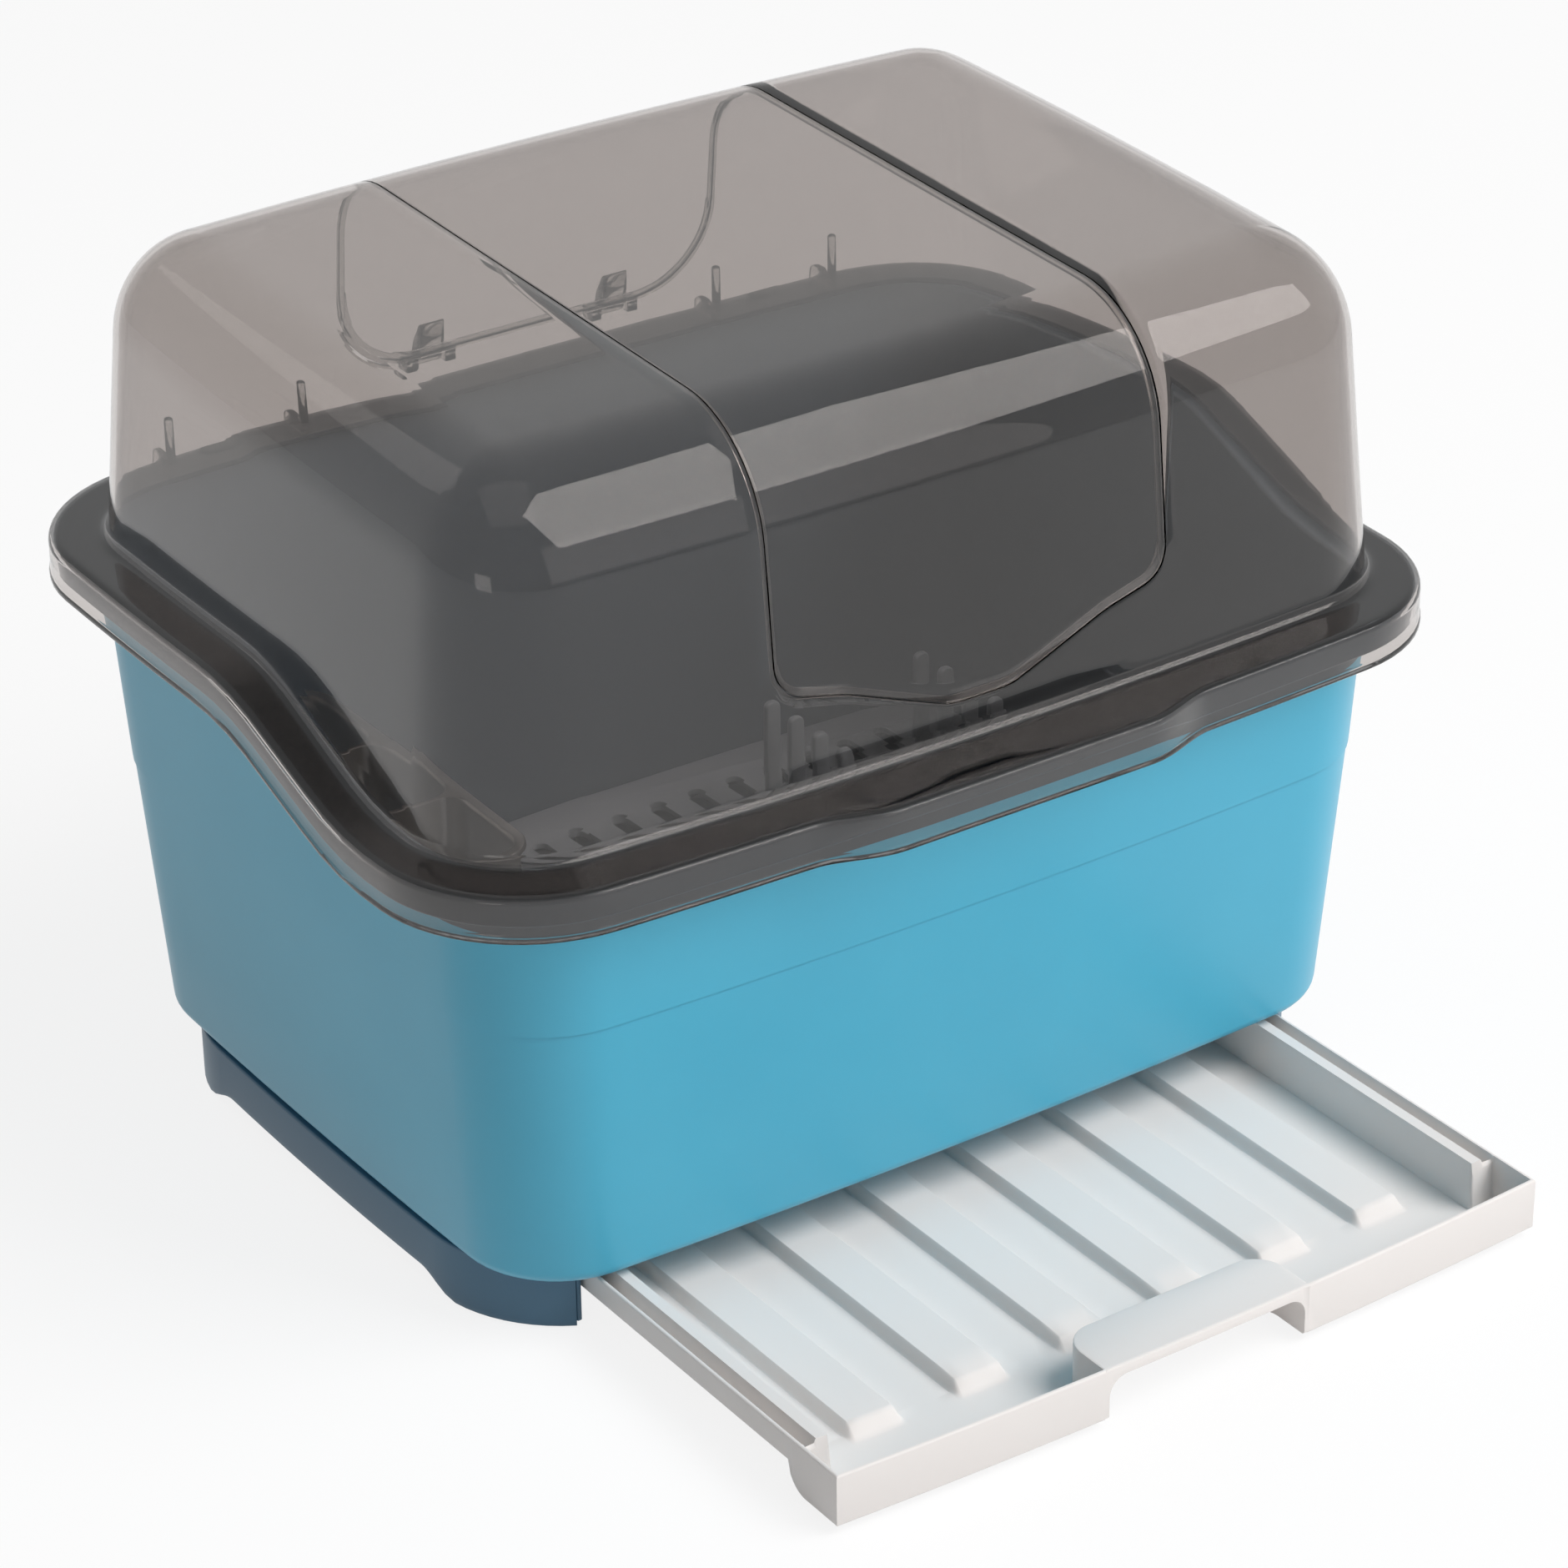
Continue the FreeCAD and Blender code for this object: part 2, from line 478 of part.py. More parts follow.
def pad(body, sketch, length, both_ways=False, reversed_way=False):
    feature = body.newObject("PartDesign::Pad", sketch.Name + "_pad")
    feature.Profile = sketch
    feature.SideType = "Symmetric" if both_ways else "One side"
    feature.Reversed = reversed_way
    bind(feature, Length=length)
    return feature


def polygon_body(name, plane, height, corners, length, both_ways=False, reversed_way=False):
    """Body padded from one rounded polygon."""
    body = new_body(name)
    sketch = new_sketch(body, name + "_outline", plane, height)
    draw_polygon(sketch, corners)
    pad(body, sketch, length, both_ways, reversed_way)
    return body


def bowed_body(name, low, high, half_x, half_y, corner, bow_x="bow_side", bow_y="bow_front"):
    """Body padded from one bowed outline, from height low to height high."""
    body = new_body(name)
    sketch = new_sketch(body, name + "_outline", height=low)
    draw_bowed(sketch, half_x, half_y, corner, bow_x, bow_y)
    pad(body, sketch, f"({high}) - ({low})")
    return body


def box(name, x0, x1, y0, y1, z0, z1):
    """Block between three pairs of formulas."""
    block = doc.addObject("Part::Box", name)
    bind(block, Length=f"({x1}) - ({x0})", Width=f"({y1}) - ({y0})", Height=f"({z1}) - ({z0})")
    bind(block, Placement__Base__x=x0, Placement__Base__y=y0, Placement__Base__z=z0)
    return block


def rod(name, x, y, z, radius, length, along=FreeCAD.Vector(0, 0, 1)):
    """Round bar from a point along a direction."""
    bar = doc.addObject("Part::Cylinder", name)
    bar.Placement.Rotation = FreeCAD.Rotation(FreeCAD.Vector(0, 0, 1), along)
    bind(bar, Radius=radius, Height=length)
    bind(bar, Placement__Base__x=x, Placement__Base__y=y, Placement__Base__z=z)
    return bar


def fuse(name, *shapes):
    joined = doc.addObject("Part::MultiFuse", name)
    joined.Shapes = list(shapes)
    joined.Refine = True
    return joined


def cut(name, base, tool):
    left = doc.addObject("Part::Cut", name)
    left.Base = base
    left.Tool = tool
    left.Refine = True
    return left


def common(name, *shapes):
    shared = doc.addObject("Part::MultiCommon", name)
    shared.Shapes = list(shapes)
    shared.Refine = True
    return shared


def round_edges(body, feature, radius, wanted):
    """Round the edges of the body's last feature that pass the test."""
    doc.recompute()
    edges = [f"Edge{i}" for i, edge in enumerate(feature.Shape.Edges, start=1) if wanted(edge)]
    fillet = body.newObject("PartDesign::Fillet", feature.Name + "_round")
    fillet.Base = (feature, edges)
    bind(fillet, Radius=radius)
    doc.recompute()
    return fillet


def below_rim(name, top):
    """Everything under the rim's dipping surface, whose front part lies at height top."""
    reach = "2 * lid_half_y"
    corners = [
        (f"-{reach}", "0 - tub_bottom", None),
        (reach, "0 - tub_bottom", None),
        (reach, f"({top}) + rim_rise", None),
        ("rise_rear_y", f"({top}) + rim_rise", "rise_bend"),
        ("rise_front_y", top, "rise_bend"),
        (f"-{reach}", top, None),
    ]
    return polygon_body(name, "YZ_Plane", "0", corners, "4 * lid_half_x", both_ways=True)


def rim_band(name, prism, low, high):
    """Part of an upright prism between two copies of the rim's surface."""
    reach = "2 * lid_half_y"
    corners = [
        (f"-{reach}", low, None),
        ("rise_front_y", low, "rise_bend"),
        ("rise_rear_y", f"({low}) + rim_rise", "rise_bend"),
        (reach, f"({low}) + rim_rise", None),
        (reach, f"({high}) + rim_rise", None),
        ("rise_rear_y", f"({high}) + rim_rise", "rise_bend"),
        ("rise_front_y", high, "rise_bend"),
        (f"-{reach}", high, None),
    ]
    sheet_body = polygon_body(name + "_sheet", "YZ_Plane", "0", corners, "4 * lid_half_x", both_ways=True)
    return common(name, prism, sheet_body)


def tub_form(name, inset, low, round_radius):
    """Drafted form of the tub, moved inwards by the inset, whose bottom edge is rounded in facets."""
    body = new_body(name)
    levels = []
    for step in range(EDGE_FACETS + 1):
        angle = step * math.pi / (2 * EDGE_FACETS)
        height = f"({low}) + ({round_radius}) * {1 - math.cos(angle):.6f}"
        levels.append((height, f"({inset}) + ({round_radius}) * {1 - math.sin(angle):.6f}"))
    levels.append(("form_top", inset))
    sketches = []
    for index, (height, edge) in enumerate(levels):
        sketch = new_sketch(body, f"{name}_level_{index}", height=height)
        climb = f"(({height}) - tub_bottom)"
        bows = ("bow_side", "bow_front") if height == "form_top" else ("bow_low_side", "bow_low_front")
        draw_bowed(
            sketch,
            f"tub_half_x + tub_draft_x * {climb} - ({edge})",
            f"tub_half_y + tub_draft_y * {climb} - ({edge})",
            f"tub_corner + tub_corner_growth * {climb} - ({edge})",
            *bows,
        )
        sketches.append(sketch)
    loft = body.newObject("PartDesign::AdditiveLoft", name + "_walls")
    loft.Profile = sketches[0]
    loft.Sections = sketches[1:]
    loft.Ruled = True
    doc.recompute()
    return body


def dome_form(name, inset):
    """Drafted dome with a sloping top and rounded top edges, moved inwards by the inset."""
    low = "dome_base - 2 * lid_lip"
    high = "dome_top + dome_round"
    body = new_body(name)
    sketches = []
    for level, height in enumerate((low, high)):
        sketch = new_sketch(body, f"{name}_level_{level}", height=height)
        climb = f"(({height}) - dome_base)"
        draw_bowed(
            sketch,
            f"dome_half_x - dome_draft_x * {climb} - ({inset})",
            f"dome_half_y - dome_draft_y * {climb} - ({inset})",
            f"dome_corner - dome_draft_x * {climb} - ({inset})",
            "bow_side",
            "bow_front",
        )
        sketches.append(sketch)
    loft = body.newObject("PartDesign::AdditiveLoft", name + "_walls")
    loft.Profile = sketches[0]
    loft.Sections = [sketches[1]]
    loft.Ruled = True
    doc.recompute()
    slope = new_sketch(body, name + "_slope", "YZ_Plane")
    reach = "2 * dome_half_y"
    draw_polygon(
        slope,
        [
            (f"-{reach}", f"dome_top - ({inset}) - dome_tilt * {reach}", None),
            (reach, f"dome_top - ({inset}) + dome_tilt * {reach}", None),
            (reach, f"{high} + dome_round", None),
            (f"-{reach}", f"{high} + dome_round", None),
        ],
    )
    top = body.newObject("PartDesign::Pocket", name + "_top")
    top.Profile = slope
    top.SideType = "Symmetric"
    bind(top, Length="4 * dome_half_x")
    doc.recompute()

    level, tilt = size(f"dome_top - ({inset})"), size("dome_tilt")

    def on_top(edge):
        return all(abs(point.z - level - tilt * point.y) < NEAR for point in edge.discretize(5))

    round_edges(body, top, f"dome_round - ({inset})", on_top)
    return body


def door_form(name, grow):
    """Upright block with the flip door's outline, front and rear, grown by a margin."""
    side = f"door_half + ({grow})"
    ceiling = "dome_top + dome_round"
    front = polygon_body(
        name + "_front",
        "XZ_Plane",
        "0",
        [
            (f"-({side})", ceiling, None),
            (f"-({side})", f"door_shoulder - ({grow})", f"door_shoulder_round + ({grow})"),
            ("-door_wave_x", f"door_wave_z - ({grow})", f"door_wave_round - ({grow})"),
            ("-door_tab_x", f"door_tab_z - ({grow})", f"door_tab_round + ({grow})"),
            ("door_tab_x", f"door_tab_z - ({grow})", f"door_tab_round + ({grow})"),
            ("door_wave_x", f"door_wave_z - ({grow})", f"door_wave_round - ({grow})"),
            (side, f"door_shoulder - ({grow})", f"door_shoulder_round + ({grow})"),
            (side, ceiling, None),
        ],
        "2 * dome_half_y",
    )
    rear = polygon_body(
        name + "_rear",
        "XZ_Plane",
        "0",
        [
            (f"-({side})", ceiling, None),
            (f"-({side})", f"door_rear - ({grow})", f"door_rear_round + ({grow})"),
            (side, f"door_rear - ({grow})", f"door_rear_round + ({grow})"),
            (side, ceiling, None),
        ],
        "2 * dome_half_y",
        reversed_way=True,
    )
    return fuse(name, front, rear)


def slot_grid(name, wide, long, step_x, step_y, columns, rows, low, high):
    """Upright slots with round ends in columns and rows, to be cut from a floor."""
    body = new_body(name)
    body.AllowCompound = True
    sketch = new_sketch(body, name + "_column", height=low)
    left = f"-({columns} - 1) / 2 * ({step_x}) - ({wide}) / 2"
    right = f"-({columns} - 1) / 2 * ({step_x}) + ({wide}) / 2"
    for row in range(int(size(rows))):
        middle = f"({row} - ({rows} - 1) / 2) * ({step_y})"
        front = f"{middle} - ({long}) / 2"
        rear = f"{middle} + ({long}) / 2"
        end = f"({wide}) * slot_end"
        ring = [(left, front, end), (right, front, end), (right, rear, end), (left, rear, end)]
        draw_polygon(sketch, ring)
    column = pad(body, sketch, f"({high}) - ({low})")
    repeat(body, column, sketch, "H_Axis", columns, step_x)
    return body


def repeat(body, feature, sketch, axis, count, step, reversed_way=False):
    """Repeat a body's feature along an axis of its sketch, with a count and a pitch given as formulas."""
    body.Tip = feature
    doc.recompute()
    pattern = body.newObject("PartDesign::LinearPattern", feature.Name + "_row")
    pattern.Originals = [feature]
    pattern.Direction = (sketch, [axis])
    pattern.Reversed = reversed_way
    pattern.Occurrences = int(size(count))
    bind(pattern, Occurrences=count, Length=f"({count} - 1) * ({step})")
    body.Tip = pattern
    doc.recompute()


def name_part(thing, name, y="0"):
    """Name a finished sub-part, move it into the object's frame and remember it for check and export."""
    thing.Label = name
    bind(thing, Placement__Base__y=f"({y}) + {FRAME_SHIFT}")
    PARTS.append(thing)
    return thing


# The drawings have y = 0 in the middle of the tub, the frame has it in the middle of the footprint
FRAME_SHIFT = "(tray_front + tray_bow - lid_half_y) / 2"
PARTS = []
SIDES = (("left", "-"), ("right", ""))
ENDS = (("front", "-"), ("rear", ""))
X_AXIS = FreeCAD.Vector(1, 0, 0)

# Tub: drafted walls, slotted floor, flange that dips towards the front with a downturned edge
rim_half_x = "lid_half_x - lid_wall - lip_gap"
rim_half_y = "lid_half_y - lid_wall - lip_gap"
rim_corner = "lid_corner - lid_wall - lip_gap"
rim_low = "rim_height - 3 * tub_lip_drop"
rim_high = "rim_height + 2 * rim_rise"
tub_floor_top = "tub_bottom + tub_floor"
rim_block = bowed_body("rim_block", rim_low, rim_high, rim_half_x, rim_half_y, rim_corner)
rim_hollow = bowed_body(
    "rim_hollow",
    rim_low,
    rim_high,
    f"{rim_half_x} - tub_wall",
    f"{rim_half_y} - tub_wall",
    f"{rim_corner} - tub_wall",
)
rim_plate = rim_band("rim_plate", rim_block, "rim_height - tub_flange", "rim_height")
rim_ring = cut("rim_ring", rim_block, rim_hollow)
rim_edge = rim_band("rim_edge", rim_ring, "rim_height - tub_lip_drop", "rim_height")
tub_outer = tub_form("tub_outer", "0", "tub_bottom", "tub_edge_round")
tub_inner = tub_form("tub_inner", "tub_wall", tub_floor_top, "tub_edge_round - tub_wall")
tub_walls = common("tub_walls", tub_outer, below_rim("tub_cap", "rim_height"))
tub_shell = cut("tub_shell", fuse("tub_block", tub_walls, rim_plate, rim_edge), tub_inner)
towers, tower_bores = [], []
for end, along_y in ENDS:
    for side, along_x in SIDES:
        place = (f"{along_x}boss_x", f"{along_y}boss_y")
        spot = f"{end}_{side}"
        towers.append(
            rod(
                f"tower_{spot}", *place, "tub_bottom + tub_floor / 2",
                "tower_radius", "tub_floor / 2 + tower_height",
            )
        )
        tower_bores.append(
            rod(f"tower_bore_{spot}", *place, "boss_seat", "screw_radius", "screw_long + screw_play")
        )
floor_slots = slot_grid(
    "floor_slots",
    "floor_slot_wide",
    "floor_slot_long",
    "floor_slot_step_x",
    "floor_slot_step_y",
    "floor_slot_columns",
    "floor_slot_rows",
    "tub_bottom - tub_floor",
    "tub_bottom + 2 * tub_floor",
)
tub_tower_block = fuse("tub_tower_block", tub_shell, *towers)
tub_openings = doc.addObject("Part::Compound", "tub_openings")
tub_openings.Links = tower_bores + [floor_slots]
name_part(cut("tub_piece", tub_tower_block, tub_openings), "tub")

# Plinth: skirt with four feet, open at the front, with guide webs and rails for the tray
tray_rear = "tray_long - tray_front"
web_inner = "tray_half_x + web_gap"
web_outer = "tray_half_x + web_gap + web_wall"
rear_stop_y = f"{tray_rear} + tray_travel + tray_end_gap"
rail_top = "strip_low - rail_gap"
rail_front_y = "tray_travel - tray_front + apron_back + tray_end_gap"
stop_low = "channel_floor + stop_inset"
stop_high = "tray_top - stop_inset"
plinth_block = bowed_body(
    "plinth_block", "base_clear", "tub_bottom", "base_half_x", "base_half_y", "base_corner",
    "bow_low_side", "bow_low_front",
)
plinth_hollow = bowed_body(
    "plinth_hollow", "-base_deck", "tub_bottom - base_deck",
    "base_half_x - base_wall", "base_half_y - base_wall", "base_corner - base_wall",
    "bow_low_side", "bow_low_front",
)
plinth_mouth = box(
    "plinth_mouth", f"-({web_inner})", web_inner,
    "-2 * base_half_y", rear_stop_y, "-base_deck", "2 * tub_bottom",
)
skirt = cut("skirt", cut("skirt_closed", plinth_block, plinth_hollow), plinth_mouth)
plinth_pieces = [skirt]
for side, along_x in SIDES:
    inner, outer = (web_inner, web_outer) if side == "right" else (f"-({web_outer})", f"-({web_inner})")
    web_ends = ["web_front_y", f"{rear_stop_y} + web_wall"]
    plinth_pieces.append(box(f"web_{side}", inner, outer, *web_ends, "web_clear", "tub_bottom"))
    rail_edges = ["rib_inner + tray_wall + rail_side_gap", f"{web_inner} + web_wall / 2"]
    stop_edges = [f"{web_inner} - stop_reach", f"{web_inner} + web_wall / 2"]
    if side == "left":
        rail_edges = [f"-({edge})" for edge in reversed(rail_edges)]
        stop_edges = [f"-({edge})" for edge in reversed(stop_edges)]
    plinth_pieces.append(
        box(f"rail_{side}", *rail_edges, rail_front_y, rear_stop_y, f"{rail_top} - rail_wall", rail_top)
    )
    plinth_pieces.append(
        box(
            f"rail_stop_{side}", *stop_edges,
            f"{tray_rear} - 2 * stop_long - rail_gap", f"{tray_rear} - stop_long - rail_gap",
            stop_low, stop_high,
        )
    )
plinth_pieces.append(
    box(
        "web_rear", f"-({web_outer})", web_outer,
        rear_stop_y, f"{rear_stop_y} + web_wall", "web_clear", "tub_bottom",
    )
)
plinth_cuts = []
for end, along_y in ENDS:
    for side, along_x in SIDES:
        place = (f"{along_x}boss_x", f"{along_y}boss_y")
        spot = f"{end}_{side}"
        plinth_pieces.append(
            rod(f"boss_{spot}", *place, "pad_thick", "boss_radius", "tub_bottom - pad_thick")
        )
        plinth_cuts.append(
            rod(f"boss_pocket_{spot}", *place, "0", "boss_bore", "boss_seat")
        )
        plinth_cuts.append(
            rod(
                f"boss_hole_{spot}", *place, "boss_seat - screw_play",
                "screw_radius + screw_play", "tub_bottom",
            )
        )


def arch(name, plane, half, length, both_ways):
    """Tool that raises the plinth's lower edge between two feet with softly bent ends."""
    far = f"2 * ({half})"
    corners = [
        (f"-{far}", "-base_deck", None),
        (far, "-base_deck", None),
        (far, "base_clear", None),
        (half, "base_clear", "arch_round"),
        (f"{half} - arch_slope", "arch_height", "arch_round"),
        (f"arch_slope - {half}", "arch_height", "arch_round"),
        (f"-{half}", "base_clear", "arch_round"),
        (f"-{far}", "base_clear", None),
    ]
    return polygon_body(name, plane, "0", corners, length, both_ways, reversed_way=not both_ways)


plinth_cuts.append(arch("side_arch", "YZ_Plane", "arch_half_y", "4 * base_half_x", True))
plinth_cuts.append(arch("rear_arch", "XZ_Plane", "arch_half_x", "2 * base_half_y", False))
plinth_openings = doc.addObject("Part::Compound", "plinth_openings")
plinth_openings.Links = plinth_cuts
name_part(cut("plinth_piece", fuse("plinth_whole", *plinth_pieces), plinth_openings), "base_plinth")

# Foot pads and screws, one of each at every corner
for end, along_y in ENDS:
    for side, along_x in SIDES:
        spot = f"{end}_{side}"
        place_y = f"{along_y}boss_y"
        foot = new_body(f"pad_{spot}")
        outline = new_sketch(foot, f"pad_{spot}_profile", "XZ_Plane")
        draw_polygon(
            outline,
            [
                ("0", "0", None),
                ("pad_radius", "0", "pad_thick / 3"),
                ("pad_radius", "pad_thick", None),
                ("boss_bore - rail_gap", "pad_thick", None),
                ("boss_bore - rail_gap", "pad_thick + pad_stem", None),
                ("0", "pad_thick + pad_stem", None),
            ],
        )
        turned = foot.newObject("PartDesign::Revolution", f"pad_{spot}_turned")
        turned.Profile = outline
        turned.ReferenceAxis = (outline, ["V_Axis"])
        turned.Angle = 360
        bind(foot, Placement__Base__x=f"{along_x}boss_x")
        name_part(foot, f"foot_pad_{spot}", place_y)

        screw = new_body(f"screw_{spot}")
        outline = new_sketch(screw, f"screw_{spot}_profile", "XZ_Plane")
        draw_polygon(
            outline,
            [
                ("0", "boss_seat - screw_head_high", None),
                ("screw_head", "boss_seat - screw_head_high", "screw_head_high / 2"),
                ("screw_head", "boss_seat", None),
                ("screw_radius", "boss_seat", None),
                ("screw_radius", "boss_seat + screw_long - screw_radius", None),
                ("0", "boss_seat + screw_long", None),
            ],
        )
        turned = screw.newObject("PartDesign::Revolution", f"screw_{spot}_turned")
        turned.Profile = outline
        turned.ReferenceAxis = (outline, ["V_Axis"])
        turned.Angle = 360
        doc.recompute()
        recess = new_sketch(screw, f"screw_{spot}_recess", height="boss_seat - screw_head_high")
        arm, reach = "screw_recess / 2", "recess_reach"
        cross = [
            (arm, arm), (reach, arm), (reach, f"-{arm}"), (arm, f"-{arm}"),
            (arm, f"-{reach}"), (f"-{arm}", f"-{reach}"), (f"-{arm}", f"-{arm}"),
            (f"-{reach}", f"-{arm}"), (f"-{reach}", arm), (f"-{arm}", arm),
            (f"-{arm}", reach), (arm, reach),
        ]
        draw_polygon(recess, [(x, y, None) for x, y in cross])
        slot = screw.newObject("PartDesign::Pocket", f"screw_{spot}_cross")
        slot.Profile = recess
        slot.Reversed = True
        bind(slot, Length="recess_deep")
        bind(screw, Placement__Base__x=f"{along_x}boss_x")
        name_part(screw, f"base_screw_{spot}", place_y)

# Drip tray: pan with ridges, side strips over the rails, bowed front panel with a pull recess
bow_radius = "(tray_half_x^2 + tray_bow^2) / (2 * tray_bow)"
bow_middle = f"{bow_radius} - tray_front - tray_bow"
pan_floor = "tray_low + tray_skin"
pan_outer = "rib_inner + tray_wall"
above = "tray_top + tray_wall"


def inside_bow(name, block, inset):
    """Keep the part of a block that lies behind the bowed front, moved back by the inset."""
    disc = rod(name + "_disc", "0", bow_middle, "-tray_low", f"{bow_radius} - ({inset})", "2 * tray_top")
    return common(name, block, disc)


tray_block = inside_bow(
    "tray_block",
    box(
        "tray_blank", "-tray_half_x", "tray_half_x",
        "-tray_front - 2 * tray_bow", tray_rear, "tray_low", "tray_top",
    ),
    "0",
)
pull_keep = polygon_body(
    "pull_keep",
    "XY_Plane",
    "-tray_low",
    [
        ("-tab_half_x - tray_wall", "-tray_front - 4 * tray_bow", None),
        ("tab_half_x + tray_wall", "-tray_front - 4 * tray_bow", None),
        ("tab_half_x + tray_wall", "tab_deep - tray_front + tray_wall", "tab_round"),
        ("-tab_half_x - tray_wall", "tab_deep - tray_front + tray_wall", "tab_round"),
    ],
    "3 * tray_top",
)
pan_room = cut(
    "pan_room",
    inside_bow(
        "pan_bowed",
        box(
            "pan_blank", "-rib_inner", "rib_inner", "-tray_front - 2 * tray_bow", f"{tray_rear} - tray_wall",
            pan_floor, above,
        ),
        "tray_wall",
    ),
    pull_keep,
)
front_room = cut(
    "front_room",
    inside_bow(
        "front_bowed",
        box(
            "front_blank", "tray_wall - tray_half_x", "tray_half_x - tray_wall",
            "-tray_front - 2 * tray_bow", "-rib_front", "channel_floor", above,
        ),
        "tray_wall",
    ),
    pull_keep,
)
tray_cuts = [pan_room, front_room]
tray_adds = []
for side, along_x in SIDES:
    channel = ["rib_outer", "tray_half_x - tray_wall"]
    bump = ["tray_half_x - tray_wall / 2", "tray_half_x + stop_reach"]
    if side == "left":
        channel = [f"-({edge})" for edge in reversed(channel)]
        bump = [f"-({edge})" for edge in reversed(bump)]
    tray_cuts.append(
        box(
            f"channel_{side}", *channel, "-rib_front - tray_wall", f"{tray_rear} - tray_wall",
            "channel_floor", above,
        )
    )
    tray_adds.append(
        box(f"tray_stop_{side}", *bump, f"{tray_rear} - stop_long", tray_rear, stop_low, stop_high)
    )
under_side = polygon_body(
    "under_side",
    "YZ_Plane",
    "0",
    [
        ("apron_back - apron_round - tray_wall - tray_front", "tray_low - tray_wall", None),
        (f"{tray_rear} + tray_wall", "tray_low - tray_wall", None),
        (f"{tray_rear} + tray_wall", "strip_low", None),
        ("apron_back - tray_front", "strip_low", None),
        ("apron_back - tray_front", "tray_low", "apron_round"),
        ("apron_back - apron_round - tray_wall - tray_front", "tray_low", None),
    ],
    "4 * tray_half_x",
    both_ways=True,
)
pan_keep = box(
    "pan_keep", f"-({pan_outer})", pan_outer, "-2 * tray_front", "2 * tray_front", "-tray_low", "2 * tray_top"
)
tray_cuts.append(cut("under_strips", under_side, pan_keep))
pull_room = polygon_body(
    "pull_room",
    "XY_Plane",
    "-tray_low",
    [
        ("-tab_half_x", "-tray_front - 4 * tray_bow", None),
        ("tab_half_x", "-tray_front - 4 * tray_bow", None),
        ("tab_half_x", "tab_deep - tray_front", "tab_round - tray_wall"),
        ("-tab_half_x", "tab_deep - tray_front", "tab_round - tray_wall"),
    ],
    "tray_top - tab_plate + tray_low",
)
lip_block = box(
    "lip_block", "-tray_half_x", "tray_half_x", "-tray_front - 4 * tray_bow", "tab_deep - tray_front",
    "tray_top - tab_lip", above,
)
lip_disc = rod("lip_disc", "0", bow_middle, "-tray_low", f"{bow_radius} - tab_plate", "2 * tray_top")
tray_cuts.append(cut("pull_recess", pull_room, cut("pull_lip", lip_block, lip_disc)))
tray_openings = doc.addObject("Part::Compound", "tray_openings")
tray_openings.Links = tray_cuts
ridges = new_body("ridges")
ridges.AllowCompound = True
ridge_side = new_sketch(ridges, "ridge_side", "YZ_Plane", "ridge_first")
draw_polygon(
    ridge_side,
    [
        ("-ridge_front", "tray_low + tray_skin / 2", None),
        (f"{tray_rear} - tray_wall / 2", "tray_low + tray_skin / 2", None),
        (f"{tray_rear} - tray_wall / 2", f"{pan_floor} + ridge_high", None),
        ("ridge_slope - ridge_front", f"{pan_floor} + ridge_high", "ridge_slope / 2"),
    ],
)
ridge = pad(ridges, ridge_side, "ridge_wide")
repeat(ridges, ridge, ridge_side, "N_Axis", "ridge_count", "ridge_step")
tray_shell = cut("tray_shell", tray_block, tray_openings)
name_part(fuse("tray_piece", tray_shell, ridges, *tray_adds), "drip_tray")

# Drain grid: lift-out slotted floor on legs
grid_climb = "(grid_top - tub_bottom)"
grid_half_x = f"tub_half_x + tub_draft_x * {grid_climb} - tub_wall - grid_gap"
grid_half_y = f"tub_half_y + tub_draft_y * {grid_climb} - tub_wall - grid_gap"
grid_corner = f"tub_corner + tub_corner_growth * {grid_climb} - tub_wall - grid_gap"
grid_outline = [grid_half_x, grid_half_y, grid_corner]
grid_plate = bowed_body("grid_plate", "grid_top - grid_skin", "grid_top", *grid_outline)
grid_rim = bowed_body("grid_rim", "grid_top - grid_edge", "grid_top", *grid_outline)
grid_room = bowed_body(
    "grid_room", "grid_top - 2 * grid_edge", "2 * grid_top",
    f"{grid_half_x} - grid_skin", f"{grid_half_y} - grid_skin", f"{grid_corner} - grid_skin",
)
grid_ring = cut("grid_ring", grid_rim, grid_room)
grid_legs = []
for index, (leg_x, leg_y) in enumerate(
    (("-leg_wide_x", "0"), ("leg_wide_x", "0"), ("-leg_x", "leg_y"), ("leg_x", "leg_y"), ("-leg_x", "-leg_y"),
     ("leg_x", "-leg_y"), ("0", "leg_y"), ("0", "-leg_y"))
):
    grid_legs.append(
        rod(f"grid_leg_{index}", leg_x, leg_y, tub_floor_top, "leg_radius", f"grid_top - ({tub_floor_top})")
    )
grid_slots = slot_grid(
    "grid_slots", "grid_slot_wide", "grid_slot_long", "grid_step_x", "grid_step_y",
    "grid_slot_columns", "grid_slot_rows", "grid_top - 2 * grid_skin", "grid_top + grid_skin",
)
name_part(cut("grid_piece", fuse("grid_whole", grid_plate, grid_ring, *grid_legs), grid_slots), "drain_grid")

# Plate rack: two rails with fins, tied by two bars
comb_rear = "comb_front + comb_long"
comb_top = "grid_top + comb_bar"
comb_pieces = []
for side, along_x in SIDES:
    middle = f"comb_x {'-' if side == 'left' else '+'} comb_half"
    comb_pieces.append(
        box(f"comb_rail_{side}", f"{middle} - comb_bar / 2", f"{middle} + comb_bar / 2",
            "comb_front", comb_rear, "grid_top", comb_top)
    )
for place, start in (("front", "comb_front"), ("rear", f"{comb_rear} - comb_bar")):
    comb_pieces.append(
        box(f"comb_bar_{place}", "comb_x - comb_half", "comb_x + comb_half",
            start, f"{start} + comb_bar", "grid_top", comb_top)
    )
fins = new_body("comb_fins")
fins.AllowCompound = True
fin_face = new_sketch(fins, "fin_face", "XZ_Plane", "-comb_front - comb_bar - fin_thick")
